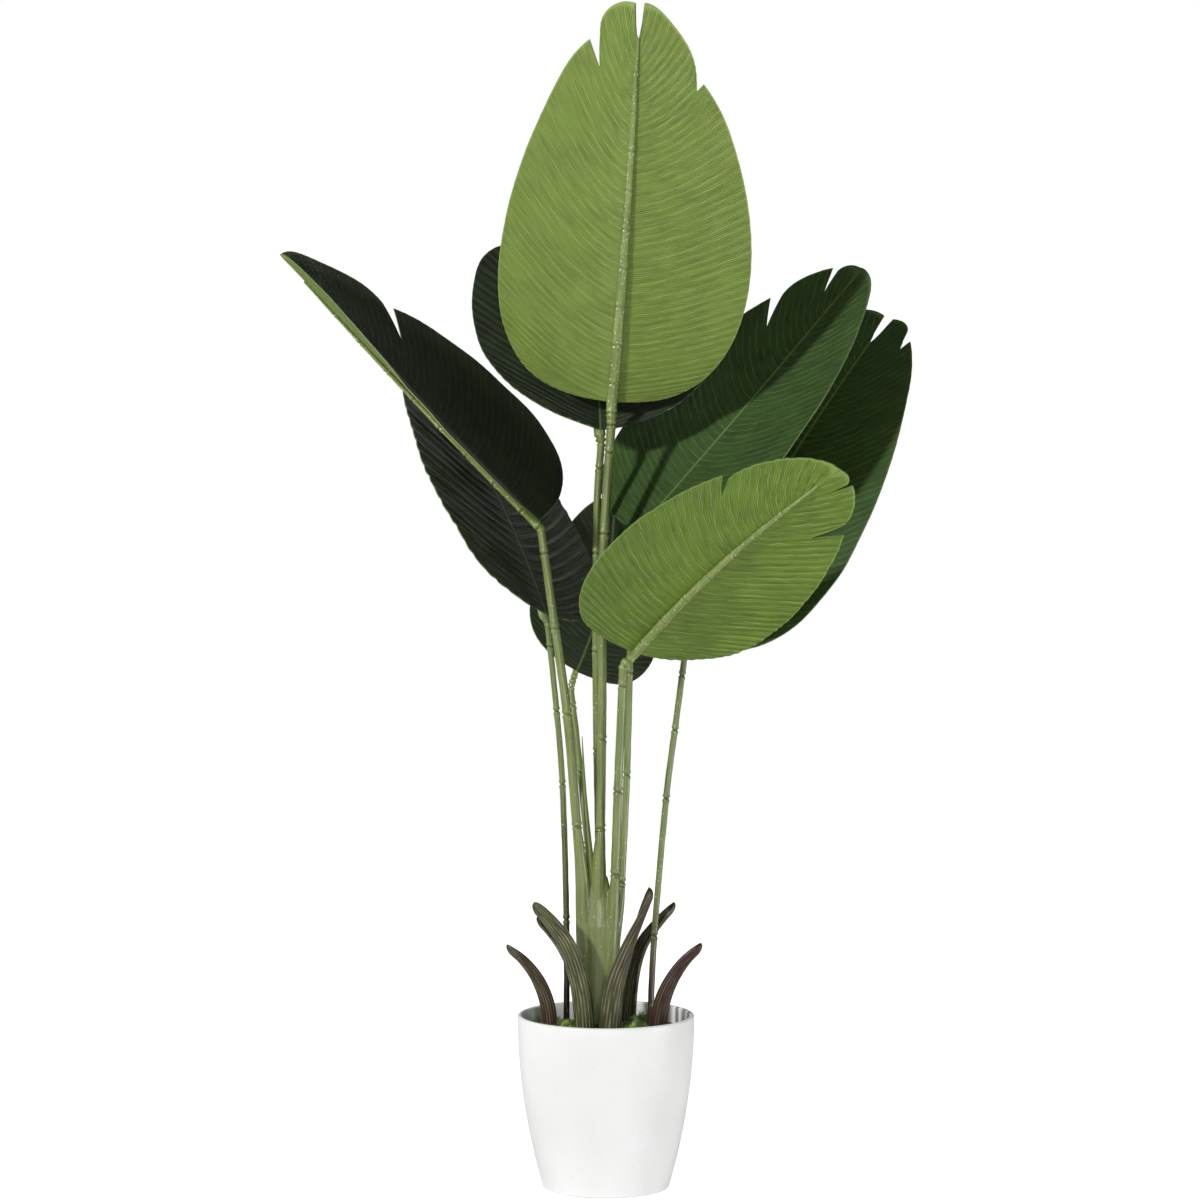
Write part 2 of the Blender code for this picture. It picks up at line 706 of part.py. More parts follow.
def build_strap(name, strap, group, finish, clearance=0.0):
    """A basal leaf as a channel with a round tip. With a clearance it is the slot that it stands in."""
    foot = Vector(strap.route[0]) - Vector((0, 0, PLANTED_DEPTH + clearance))
    points = through((foot, *strap.route), STRAP_SAMPLES)
    points.insert(-1, points[-2].lerp(points[-1], 1 - STRAP_TIP_RING))
    last = len(points) - 1
    bm = bmesh.new()
    bmesh.ops.create_grid(bm, x_segments=last, y_segments=STRAP_CROSS_STEPS, size=0.5)
    for vert in bm.verts:
        step = round((vert.co.x + 0.5) * last)
        share = min(max(0.0, (step - STRAP_SAMPLES) / (last - 1 - STRAP_SAMPLES)), 1.0)
        ahead = (points[min(step + 1, last)] - points[max(0, step - 1)]).normalized()
        out = Vector(strap.foot_opening).lerp(Vector(strap.tip_opening), share)
        out = (out - ahead * out.dot(ahead)).normalized()
        radius = strap.width / 2 * (1 - STRAP_TAPER * share ** 2)
        if last - step < len(STRAP_TIP_WIDTHS):
            radius *= STRAP_TIP_WIDTHS[last - step]
        turn = 2 * (STRAP_OPENING + 2 * clearance / strap.width) * vert.co.y
        vert.co = points[step] + (ahead.cross(out) * math.sin(turn) - out * math.cos(turn)) * radius
    bmesh.ops.remove_doubles(bm, verts=bm.verts, dist=MERGE_DISTANCE)
    made = new_object("basal_leaf_" + name, mesh_from(bm, name), group, finish)
    shell = made.modifiers.new("Thickness", "SOLIDIFY")
    shell.thickness = STRAP_THICKNESS + 2 * clearance
    shell.offset = 0.0
    return made


def main():
    clear_scene()
    plant = collection("banana_plant")
    helpers = collection("helpers")
    white = material("pot_white", (0.86, 0.86, 0.85), 0.45)
    earth = material("planting_fill", (0.035, 0.025, 0.020), 0.95)
    moss = material("moss", (0.090, 0.160, 0.030), 0.90)
    stem_green = material("stem_green", (0.210, 0.300, 0.110), 0.40)
    leaf_green = material("leaf_green", (0.050, 0.120, 0.030), 0.45)
    rib_green = material("rib_green", (0.230, 0.320, 0.120), 0.40)
    olive = material("basal_olive", (0.110, 0.100, 0.045), 0.45)
    build_pot(plant, white)
    build_fill(plant, helpers, earth)
    build_moss(plant, moss)
    build_trunk(plant, helpers, stem_green)
    for name, stem in STEMS.items():
        build_stem(name, stem, plant, helpers, stem_green)
    for name, leaf in LEAVES.items():
        build_blade(name, leaf, plant, leaf_green)
        build_midrib(name, leaf, plant, rib_green)
    for name, strap in STRAPS.items():
        build_strap(name, strap, plant, olive)


main()
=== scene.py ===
"""The looks of an artificial banana plant in a round pot.

Metres, +Z up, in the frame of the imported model. The plant's front faces -Y. Each
piece is built in the place of the solid it stands for: the turned pot and its fill,
the moss, the moulded trunk and stems, the pressed leaf blades on their midribs, and
the ribbed basal leaves.
"""

import logging
import math
import random
from collections.abc import Callable, Iterable, Sequence
from dataclasses import dataclass
from enum import Enum
from functools import partial

import bmesh
import bpy
import numpy as np
from bmesh.types import BMesh, BMVert
from bpy.types import Material, Mesh, Node, NodeSocket, NodeTree, Object
from mathutils import Matrix, Vector, noise

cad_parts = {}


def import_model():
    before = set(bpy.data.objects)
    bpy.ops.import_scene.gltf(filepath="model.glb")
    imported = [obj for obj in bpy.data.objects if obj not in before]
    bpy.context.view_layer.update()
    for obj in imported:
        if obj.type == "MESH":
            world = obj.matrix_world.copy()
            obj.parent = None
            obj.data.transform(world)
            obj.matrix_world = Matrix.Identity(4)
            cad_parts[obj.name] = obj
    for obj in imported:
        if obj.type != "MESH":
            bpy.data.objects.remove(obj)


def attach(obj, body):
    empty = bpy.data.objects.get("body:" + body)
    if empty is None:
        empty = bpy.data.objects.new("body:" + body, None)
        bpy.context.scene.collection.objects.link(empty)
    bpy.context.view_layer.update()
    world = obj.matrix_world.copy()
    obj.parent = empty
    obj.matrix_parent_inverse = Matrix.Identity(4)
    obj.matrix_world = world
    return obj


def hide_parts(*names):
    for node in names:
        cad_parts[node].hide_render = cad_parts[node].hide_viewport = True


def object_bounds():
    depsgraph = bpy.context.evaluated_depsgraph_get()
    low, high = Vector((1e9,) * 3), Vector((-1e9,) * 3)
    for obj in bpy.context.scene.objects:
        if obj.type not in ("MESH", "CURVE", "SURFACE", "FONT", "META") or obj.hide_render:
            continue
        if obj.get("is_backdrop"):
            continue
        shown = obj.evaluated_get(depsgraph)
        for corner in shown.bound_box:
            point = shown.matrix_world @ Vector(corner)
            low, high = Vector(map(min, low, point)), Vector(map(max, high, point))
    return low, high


ROOT_BODY = "root"
MERGE_DISTANCE = 0.00001
FRONT = Vector((0.0, -1.0, 0.0))
# A rod turns from round to flat over this length.
FLATTENING_LENGTH = 0.02
# The mean of (0.5 + 0.5 cos) ** 2, so that pleats rise as much as they fall.
MEAN_RIDGE = 0.375

Pair = tuple[float, float]
Point = tuple[float, float, float]
Box = tuple[Vector, Vector]
Inputs = dict[str | int, object]
AddNode = Callable[..., NodeSocket]

log = logging.getLogger("banana_plant")


# ---------------------------------------------------------------- options


class Side(Enum):
    """A half of a leaf, seen on its upper face with the tip up."""

    LEFT = -1
    RIGHT = 1

    @property
    def half(self) -> int:
        """Which of a pair of values, left and right, belongs to this half."""
        return 0 if self is Side.LEFT else 1


class Follows(Enum):
    """What a stem pattern runs along: the rod's own length, or the object's height."""

    ROD = "run"
    HEIGHT = "height"


# ---------------------------------------------------------------- material helpers


def linear(colour: str) -> tuple[float, float, float, float]:
    """Turns an sRGB hex colour into linear values.

    Args:
        colour: six hex digits with a leading #.

    Returns:
        Linear red, green, blue and an alpha of 1.
    """
    shares = [int(colour[start:start + 2], 16) / 255 for start in (1, 3, 5)]
    red, green, blue = (
        share / 12.92 if share <= 0.04045 else ((share + 0.055) / 1.055) ** 2.4
        for share in shares
    )
    return red, green, blue, 1.0


def feed(node: Node, inputs: Inputs) -> None:
    """Sets or joins a node's inputs.

    Args:
        node: the node.
        inputs: a value, or the output socket to join, by the input's name or number.
    """
    for key, value in inputs.items():
        if isinstance(value, NodeSocket):
            node.id_data.links.new(value, node.inputs[key])
        else:
            node.inputs[key].default_value = value


def add_node(
    tree: NodeTree,
    kind: str,
    inputs: Inputs | None = None,
    output: str | int = 0,
    stops: Sequence[tuple[float, str]] = (),
    **settings: object,
) -> NodeSocket:
    """Adds a node with its settings, its socket values and the links into it.

    Args:
        tree: the material's or world's node tree.
        kind: the node's type without the leading ShaderNode.
        inputs: a value, or the output socket to join, by the input's name or number.
        output: the name or number of the output that is wanted.
        stops: positions and hex colours, for a colour ramp.
        settings: the node's own properties.

    Returns:
        The wanted output of the new node.
    """
    made = tree.nodes.new("ShaderNode" + kind)
    for name, value in settings.items():
        setattr(made, name, value)
    feed(made, inputs or {})
    for index, (position, colour) in enumerate(stops):
        elements = made.color_ramp.elements
        stop = elements[index] if index < 2 else elements.new(position)
        stop.position = position
        stop.color = linear(colour)
    return made.outputs[output]


@dataclass(frozen=True)
class Finish:
    """A finish: the name of its material, and the values set on the shader itself."""

    name: str
    roughness: float
    ior: float = 1.5

    def material(self) -> Material:
        """Finds the material, or makes and paints it the first time.

        Returns:
            The material.
        """
        found = bpy.data.materials.get(self.name)
        if found:
            return found
        made = bpy.data.materials.new(self.name)
        made.use_nodes = True
        shader = made.node_tree.nodes["Principled BSDF"]
        feed(shader, {"Metallic": 0.0, "IOR": self.ior, "Roughness": self.roughness})
        feed(shader, self.paint(partial(add_node, made.node_tree)))
        return made

    def paint(self, add: AddNode) -> Inputs:
        """Draws the finish's patterns.

        Args:
            add: adds a node to the material, as add_node does.

        Returns:
            The shader's inputs.
        """
        raise NotImplementedError


# Polypropylene, injection moulded. An even satin white with the faint grain of the
# mould, a little dust all over, and a gloss that is never quite the same from place
# to place.
@dataclass(frozen=True)
class MouldedPot(Finish):
    """The satin white of the pot."""

    white: str = "#E8E8E8"
    shade: str = "#E0E0DF"
    dust: str = "#CFCAC3"
    cloud: float = 0.111
    speck: float = 0.00238
    grain: float = 0.0012
    relief: float = 0.00004

    def paint(self, add: AddNode) -> Inputs:
        """Draws the pot's cloudy white, its dust and its grain.

        Args:
            add: adds a node to the material, as add_node does.

        Returns:
            The shader's inputs.
        """
        place = add("TexCoord", output="Object")
        clouds = add("TexNoise", {"Scale": 1 / self.cloud, "Detail": 3.0, "Vector": place})
        specks = add("TexNoise", {"Scale": 1 / self.speck, "Detail": 2.0, "Vector": place})
        grain = add("TexNoise", {"Scale": 1 / self.grain, "Detail": 2.0, "Vector": place})
        tint = add("ValToRGB", {"Fac": clouds}, stops=((0.35, self.shade), (0.62, self.white)))
        dusty = add(
            "MapRange", {"Value": specks, "From Min": 0.66, "From Max": 0.74, "To Max": 0.5}
        )
        return {
            "Base Color": add(
                "Mix", {"Factor": dusty, "A": tint, "B": linear(self.dust)}, 2, data_type="RGBA"
            ),
            "Roughness": add("MapRange", {
                "Value": clouds, "To Min": self.roughness - 0.06, "To Max": self.roughness + 0.10,
            }),
            "Normal": add("Bump", {"Strength": 0.5, "Distance": self.relief, "Height": grain}),
        }


# Peat and bark, glued in place over a cast block. Dull near-black brown crumbs of
# 2 to 4 mm, some of them paler where they have dried.
@dataclass(frozen=True)
class GluedPeat(Finish):
    """The dark crumbs on top of the planting fill."""

    dark: str = "#1E1813"
    brown: str = "#3B2E22"
    dry: str = "#6A5740"
    crumb: float = 0.003
    fibre: float = 0.00111
    relief: float = 0.0008

    def paint(self, add: AddNode) -> Inputs:
        """Draws the crumbs' colours and their relief.

        Args:
            add: adds a node to the material, as add_node does.

        Returns:
            The shader's inputs.
        """
        place = add("TexCoord", output="Object")
        crumbs = add("TexVoronoi", {"Scale": 1 / self.crumb, "Vector": place}, "Distance")
        fibres = add("TexNoise", {"Scale": 1 / self.fibre, "Detail": 4.0, "Vector": place})
        pick = add("SeparateColor", {0: crumbs.node.outputs["Color"]})
        mixed = add("Math", {0: pick, 1: fibres}, operation="MULTIPLY")
        stops = ((0.12, self.dark), (0.35, self.brown), (0.58, self.dry))
        relief = {"Strength": 0.9, "Distance": self.relief, "Height": crumbs}
        return {
            "Base Color": add("ValToRGB", {"Fac": mixed}, stops=stops),
            "Normal": add("Bump", relief, invert=True),
        }


# Dried moss, dyed green. Its colour changes at random, patch by patch, from nearly
# black through green to bright yellow-green, with single sprigs that have lost their dye.
@dataclass(frozen=True)
class DyedMoss(Finish):
    """The dyed green of the moss."""

    deep: str = "#26340F"
    green: str = "#4C691E"
    bright: str = "#8BA83E"
    faded: str = "#A49C58"
    clump: float = 0.005

    def paint(self, add: AddNode) -> Inputs:
        """Draws the sprigs' colours, clump by clump.

        Args:
            add: adds a node to the material, as add_node does.

        Returns:
            The shader's inputs.
        """
        place = add("TexCoord", output="Object")
        patches = add("TexNoise", {
            "Scale": 1 / self.clump, "Detail": 4.0, "Roughness": 0.7, "Vector": place,
        })
        stops = ((0.30, self.deep), (0.46, self.green), (0.60, self.bright), (0.74, self.faded))
        return {
            "Base Color": add("ValToRGB", {"Fac": patches}, stops=stops),
            "Sheen Weight": 0.25,
            "Sheen Roughness": 0.6,
        }


# Polyethylene, moulded over a wire and sprayed. A semi-gloss leaf green with paler
# streaks along the stem and a red-brown foot. The ring grooves are painted darker,
# which is painted shade. Beads of spray are raised and glossier, and painted near-white
# as a painted highlight for their glints. The real beads are finer, and are drawn as
# coarse as they show.
@dataclass(frozen=True)
class SprayedStem(Finish):
    """The sprayed green of the trunk, the stems and the midribs.

    streak, cloud, mist: how wide the streaks, the clouds and the grain of the spray are;
        the stretch draws the streaks out along the stem.
    beads_and_glints: the share of the places that have a raised, glossy spray drop, painted near-white
    as a painted highlight.
    """

    green: str = "#6C7A41"
    pale: str = "#87915A"
    # The darker spray tone, which also paints the shade in the ring grooves.
    deep: str = "#525E33"
    brown: str = "#2B130A"
    # Near-white: the painted highlight of each bead's glint.
    bead_highlight: str = "#D9DEC8"
    follows: Follows = Follows.ROD
    streak: float = 0.0016
    stretch: float = 0.035
    cloud: float = 0.0417
    cloudiness: float = 0.3
    mist: float = 0.00118
    beads_and_glints: float = 0.08
    bead_size: float = 0.0011
    relief: float = 0.00035
    coat: float = 0.25

    def paint(self, add: AddNode) -> Inputs:
        """Draws streaks, the brown foot, the painted shade of the ring grooves, and the raised drops
        with their painted highlights.

        Args:
            add: adds a node to the material, as add_node does.

        Returns:
            The shader's inputs.
        """
        place = add("TexCoord", output="Object")
        if self.follows is Follows.ROD:
            run, stretch = add("UVMap", uv_map="run"), (self.stretch, 1.0, 1.0)
        else:
            run, stretch = place, (1.0, 1.0, self.stretch)
        along = add("Mapping", {"Scale": stretch, "Vector": run})
        streaks = add("TexNoise", {"Scale": 1 / self.streak, "Detail": 3.0, "Vector": along})
        clouds = add("TexNoise", {"Scale": 1 / self.cloud, "Detail": 2.0, "Vector": place})
        mist = add("TexNoise", {"Scale": 1 / self.mist, "Detail": 2.0, "Vector": place})
        marks = add("SeparateXYZ", {0: add("UVMap", uv_map="marks")}).node.outputs
        # The ring grooves are painted in the darker tone: painted shade.
        groove_shade = add("Math", {0: marks[0], 1: 0.75}, operation="MULTIPLY")
        drops = add(
            "TexVoronoi", {"Scale": 1 / (self.bead_size * 2.2), "Vector": place}, "Distance"
        )
        pick = add("SeparateColor", {0: drops.node.outputs["Color"]})
        sparse = add("MapRange", {"Value": pick, "From Min": 1 - self.beads_and_glints, "From Max": 1.0})
        near = add("MapRange", {"Value": drops, "From Min": 0.34, "From Max": 0.10})
        beads_and_glints = add("Math", {0: sparse, 1: near}, operation="MULTIPLY")
        colour = add(
            "ValToRGB", {"Fac": add("Mix", {"Factor": self.cloudiness, "A": streaks, "B": clouds})},
            stops=((0.30, self.deep), (0.50, self.green), (0.72, self.pale)),
        )
        # Layers the red-brown foot, the painted shade of the ring grooves and the beads' painted
        # highlights.
        for share, spray in ((marks[1], self.brown), (groove_shade, self.deep), (beads_and_glints, self.bead_highlight)):
            layer = {"Factor": share, "A": colour, "B": linear(spray)}
            colour = add("Mix", layer, 2, data_type="RGBA")
        rough = add("Math", {0: mist, 1: streaks}, operation="ADD")
        raised = add("Math", {0: beads_and_glints, 1: 2.5, 2: rough}, operation="MULTIPLY_ADD")
        return {
            "Base Color": colour,
            "Roughness": add("MapRange", {
                "Value": beads_and_glints, "To Min": self.roughness, "To Max": self.roughness - 0.16,
            }),
            "Normal": add("Bump", {"Strength": 0.55, "Distance": self.relief, "Height": raised}),
            "Coat Weight": self.coat,
            "Coat Roughness": 0.14,
        }


# Polyester cloth, printed, coated and hot pressed. Each vein is a crease that takes a
# paler line of print; between the veins the colour is uneven, and a satin coat gives
# the leaf its soft highlight. The weave is finer than shows, and is drawn coarser.
@dataclass(frozen=True)
class PressedLeaf(Finish):
    """One face of a leaf blade.

    veins, hairs: the strong and the fine printed lines, across the veins' run.
    streak, drift, gap: how wide the uneven colour, the veins' wandering and the breaks
        in their print are across the veins; the stretches draw them out along the veins.
    """

    ground: str = "#314A1C"
    deep: str = "#263A17"
    vein: str = "#5A7B38"
    rib: str = "#5F763C"
    margin: str = "#566B3C"
    vein_pitch: float = 0.0090
    vein_width: float = 0.0010
    vein_strength: float = 0.7
    hair_pitch: float = 0.00225
    hair_strength: float = 0.32
    rib_width: float = 0.0016
    rib_strength: float = 0.9
    margin_width: float = 0.0012
    margin_strength: float = 0.7
    cloud: float = 0.0333
    streak: float = 0.00588
    streak_stretch: float = 0.025
    drift: float = 0.0182
    drift_stretch: float = 0.12
    wander: float = 0.0050
    gap: float = 0.00417
    gap_stretch: float = 0.02
    weave: float = 0.000909
    relief: float = 0.00035

    @staticmethod
    def lines(add: AddNode, across: NodeSocket, pitch: float, width: float) -> NodeSocket:
        """Draws soft lines at every pitch.

        Args:
            add: adds a node to the material, as add_node does.
            across: the distance across the veins, in metres.
            pitch: from one line to the next, in metres.
            width: from the middle of a line to where it has faded out, in metres.

        Returns:
            1 on each line and 0 between them.
        """
        away = add("Math", {0: across, 1: pitch / 2}, operation="PINGPONG")
        return add(
            "MapRange", {"Value": away, "From Min": width, "From Max": 0.0},
            interpolation_type="SMOOTHSTEP",
        )

    def paint(self, add: AddNode) -> Inputs:
        """Draws the veins, the midrib line, the margin and the relief.

        Args:
            add: adds a node to the material, as add_node does.

        Returns:
            The shader's inputs.
        """
        place = add("TexCoord", output="Object")
        run = add("UVMap", uv_map="veins")
        reach = add("SeparateXYZ", {0: add("UVMap", uv_map="reach")}).node.outputs
        clouds = add("TexNoise", {
            "Scale": 1 / self.cloud, "Detail": 4.0, "Roughness": 0.6, "Vector": place,
        })
        weave = add("TexNoise", {"Scale": 1 / self.weave, "Detail": 2.0, "Vector": place})
        streaks, drift, gaps = (
            add("TexNoise", {
                "Scale": 1 / size, "Detail": detail,
                "Vector": add("Mapping", {"Scale": (1.0, stretch, 1.0), "Vector": run}),
            })
            for size, detail, stretch in (
                (self.streak, 3.0, self.streak_stretch),
                (self.drift, 2.0, self.drift_stretch),
                (self.gap, 2.0, self.gap_stretch),
            )
        )
        blend = add("Math", {0: streaks, 1: clouds}, operation="ADD")
        patchy = add(
            "MapRange", {"Value": gaps, "From Min": 0.38, "From Max": 0.60, "To Min": 0.20}
        )
        across = add(
            "Math", {0: drift, 1: self.wander, 2: add("SeparateXYZ", {0: run})},
            operation="MULTIPLY_ADD",
        )
        hairs = self.lines(add, across, self.hair_pitch, self.hair_pitch / 3)
        veins = self.lines(add, across, self.vein_pitch, self.vein_width)
        hair_share, vein_share = (
            add("Math", {
                0: add("Math", {0: lines, 1: patchy}, operation="MULTIPLY"), 1: strength,
            }, operation="MULTIPLY")
            for lines, strength in ((hairs, self.hair_strength), (veins, self.vein_strength))
        )
        margin = add("MapRange", {
            "Value": reach[1], "From Min": self.margin_width, "From Max": self.margin_width / 3,
            "To Max": self.margin_strength,
        })
        rib = add("MapRange", {
            "Value": reach[0], "From Min": self.rib_width, "From Max": self.rib_width / 2,
            "To Max": self.rib_strength,
        }, interpolation_type="SMOOTHSTEP")
        colour = linear(self.deep)
        for share, paint in (
            (add("MapRange", {"Value": blend, "From Min": 0.75, "From Max": 1.15}), self.ground),
            (hair_share, self.vein), (vein_share, self.vein), (margin, self.margin), (rib, self.rib),
        ):
            layer = {"Factor": share, "A": colour, "B": linear(paint)}
            colour = add("Mix", layer, 2, data_type="RGBA")
        creases = add("Math", {0: hairs, 1: 0.8, 2: streaks}, operation="MULTIPLY_ADD")
        height = add("Math", {0: weave, 1: 0.35, 2: creases}, operation="MULTIPLY_ADD")
        return {
            "Base Color": colour,
            "Roughness": add("MapRange", {
                "Value": streaks, "From Min": 0.3, "From Max": 0.7,
                "To Min": self.roughness - 0.07, "To Max": self.roughness + 0.10,
            }),
            "Normal": add("Bump", {"Strength": 0.6, "Distance": self.relief, "Height": height}),
        }


# Polyethylene sheet, embossed and sprayed. Olive to red-brown, with raised ribs whose
# tops are pale in broken dashes: partly dust and wear, partly a painted highlight.
@dataclass(frozen=True)
class EmbossedStrap(Finish):
    """The olive and red-brown of the basal leaves."""

    olive: str = "#454824"
    dull: str = "#2F3119"
    red: str = "#2E0E0B"
    # Pale rib tops: partly dust, partly painted highlight.
    rubbed_highlight: str = "#A3A081"
    cloud: float = 0.0167
    streak: float = 0.00111
    stretch: float = 0.05
    relief: float = 0.0004

    def paint(self, add: AddNode) -> Inputs:
        """Draws the two sprayed colours, the pale rib tops, which are partly a painted highlight, and
        the relief.

        Args:
            add: adds a node to the material, as add_node does.

        Returns:
            The shader's inputs.
        """
        place = add("TexCoord", output="Object")
        run = add("UVMap", uv_map="run")
        marks = add("SeparateXYZ", {0: add("UVMap", uv_map="marks")}).node.outputs
        along = add("Mapping", {"Scale": (self.stretch, 1.0, 1.0), "Vector": run})
        clouds = add("TexNoise", {"Scale": 1 / self.cloud, "Detail": 4.0, "Vector": place})
        streaks = add("TexNoise", {"Scale": 1 / self.streak, "Detail": 3.0, "Vector": along})
        rub_highlight_dashes = add(
            "MapRange", {"Value": streaks, "From Min": 0.38, "From Max": 0.62, "To Max": 0.85}
        )
        kept = add("MapRange", {"Value": marks[1], "To Min": 1.0, "To Max": 0.30})
        ribs = add("Math", {0: kept, 1: marks[0]}, operation="MULTIPLY")
        # The pale rib tops, partly dust and partly painted highlight, kept less on the red-brown.
        rubbed_highlight = add("Math", {0: rub_highlight_dashes, 1: ribs}, operation="MULTIPLY")
        colour = add("ValToRGB", {"Fac": clouds}, stops=((0.35, self.dull), (0.60, self.olive)))
        for share, spray in ((marks[1], self.red), (rubbed_highlight, self.rubbed_highlight)):
            layer = {"Factor": share, "A": colour, "B": linear(spray)}
            colour = add("Mix", layer, 2, data_type="RGBA")
        return {
            "Base Color": colour,
            "Normal": add("Bump", {"Strength": 0.6, "Distance": self.relief, "Height": streaks}),
        }


# ---------------------------------------------------------------- mesh helpers


def clamp(share: float) -> float:
    """Holds a share between 0 and 1."""
    return min(1.0, max(0.0, share))


def between(ends: Pair, share: float) -> float:
    """The value a share of the way from the first end to the second."""
    return ends[0] + (ends[1] - ends[0]) * share


def direction(azimuth: float, elevation: float) -> Vector:
    """Finds a direction.

    Args:
        azimuth: from the front and towards the right, in degrees.
        elevation: over the floor, in degrees.

    Returns:
        The direction, with a length of 1.
    """
    turn, rise = math.radians(azimuth), math.radians(elevation)
    level = math.cos(rise)
    return Vector((math.sin(turn) * level, -math.cos(turn) * level, math.sin(rise)))


def smooth_route(points: Iterable[Sequence[float]], samples: int) -> list[Vector]:
    """Finds points on a smooth curve through the given ones.

    Args:
        points: the points that the curve passes through.
        samples: how many steps there are between each two.

    Returns:
        The points in order, from the first to the last.
    """
    knots = [Vector(point) for point in points]
    ends = [2 * knots[0] - knots[1], *knots, 2 * knots[-1] - knots[-2]]
    route = [knots[0]]
    for before, start, end, after in zip(ends, ends[1:], ends[2:], ends[3:]):
        for step in range(1, samples + 1):
            t = step / samples
            route.append(0.5 * (
                2 * start + (end - before) * t
                + (2 * before - 5 * start + 4 * end - after) * t ** 2
                + (3 * start - before - 3 * end + after) * t ** 3
            ))
    return route


def lengths_along(points: Sequence[Vector]) -> np.ndarray:
    """How far along a route each of its points lies, in metres."""
    gaps = [(after - before).length for before, after in zip(points, points[1:])]
    return np.concatenate([[0.0], np.cumsum(gaps)])


def grid(bm: BMesh, columns: int, rows: int) -> dict[BMVert, tuple[int, int]]:
    """Adds a flat grid.

    Args:
        bm: the mesh that it goes into.
        columns: the number of faces along X.
        rows: the number of faces along Y.

    Returns:
        Each new point with its column and its row.
    """
    made = bmesh.ops.create_grid(bm, x_segments=columns, y_segments=rows, size=0.5)["verts"]
    return {
        vert: (round((vert.co.x + 0.5) * columns), round((vert.co.y + 0.5) * rows))
        for vert in made
    }


def write_uv(bm: BMesh, name: str, places: dict[BMVert, Pair]) -> None:
    """Writes a UV map.

    Args:
        bm: the mesh.
        name: the map, which is added if the mesh has none of that name.
        places: the place of each point on the map.
    """
    layer = bm.loops.layers.uv.get(name) or bm.loops.layers.uv.new(name)
    for vert, place in places.items():
        for loop in vert.link_loops:
            loop[layer].uv = place


def close_seams(bm: BMesh) -> None:
    """Merges the points that meet, and turns the faces outwards."""
    bmesh.ops.remove_doubles(bm, verts=bm.verts, dist=MERGE_DISTANCE)
    bmesh.ops.recalc_face_normals(bm, faces=bm.faces)


def turned(profile: Sequence[Pair], steps: int) -> BMesh:
    """Turns a profile once round the pot's axis.

    Args:
        profile: radii and heights, from the middle of the top to that of the bottom.
        steps: how many steps the turn has.

    Returns:
        The closed mesh.
    """
    bm = bmesh.new()
    knots = [bm.verts.new((radius, 0, height)) for radius, height in profile]
    edges = [bm.edges.new(pair) for pair in zip(knots, knots[1:])]
    bmesh.ops.spin(
        bm, geom=knots + edges, cent=(0, 0, 0), axis=(0, 0, 1), angle=2 * math.pi,
        steps=steps, use_merge=True,
    )
    close_seams(bm)
    return bm


def shade(mesh: Mesh, sharp: float) -> None:
    """Shades a mesh smooth, apart from the edges past an angle in degrees."""
    mesh.shade_smooth()
    mesh.set_sharp_from_angle(angle=math.radians(sharp))


def mesh_object(name: str, bm: BMesh, finishes: Sequence[Finish], sharp: float) -> Object:
    """Makes an object of a finished mesh.

    Args:
        name: the object's name.
        bm: its mesh, which is freed.
        finishes: one for each material number.
        sharp: the angle, in degrees, past which an edge is drawn sharp.

    Returns:
        The object, in the scene.
    """
    mesh = bpy.data.meshes.new(name)
    bm.to_mesh(mesh)
    bm.free()
    for finish in finishes:
        mesh.materials.append(finish.material())
    shade(mesh, sharp)
    made = bpy.data.objects.new(name, mesh)
    bpy.context.scene.collection.objects.link(made)
    return made


def modify(obj: Object, kind: str, sharp: float, **settings: object) -> None:
    """Changes an object's mesh by a modifier.

    Args:
        obj: the object.
        kind: the modifier's type.
        sharp: the angle, in degrees, past which an edge is drawn sharp.
        settings: the modifier's own properties.
    """
    modifier = obj.modifiers.new(kind, kind)
    for name, value in settings.items():
        setattr(modifier, name, value)
    graph = bpy.context.evaluated_depsgraph_get()
    mesh = bpy.data.meshes.new_from_object(obj.evaluated_get(graph), depsgraph=graph)
    obj.modifiers.clear()
    old, obj.data = obj.data, mesh
    bpy.data.meshes.remove(old)
    shade(mesh, sharp)


def dress(obj: Object, slot: str, *nodes: str) -> None:
    """Reports a piece to the frame and to the log.

    Args:
        obj: the finished piece.
        slot: the record's material slot that its finish belongs to; not used.
        nodes: the solids that it stands for.
    """
    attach(obj, ROOT_BODY)
    if nodes:
        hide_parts(*nodes)
    log.info("%s: %d faces", obj.name, len(obj.data.polygons))


# ---------------------------------------------------------------- rods


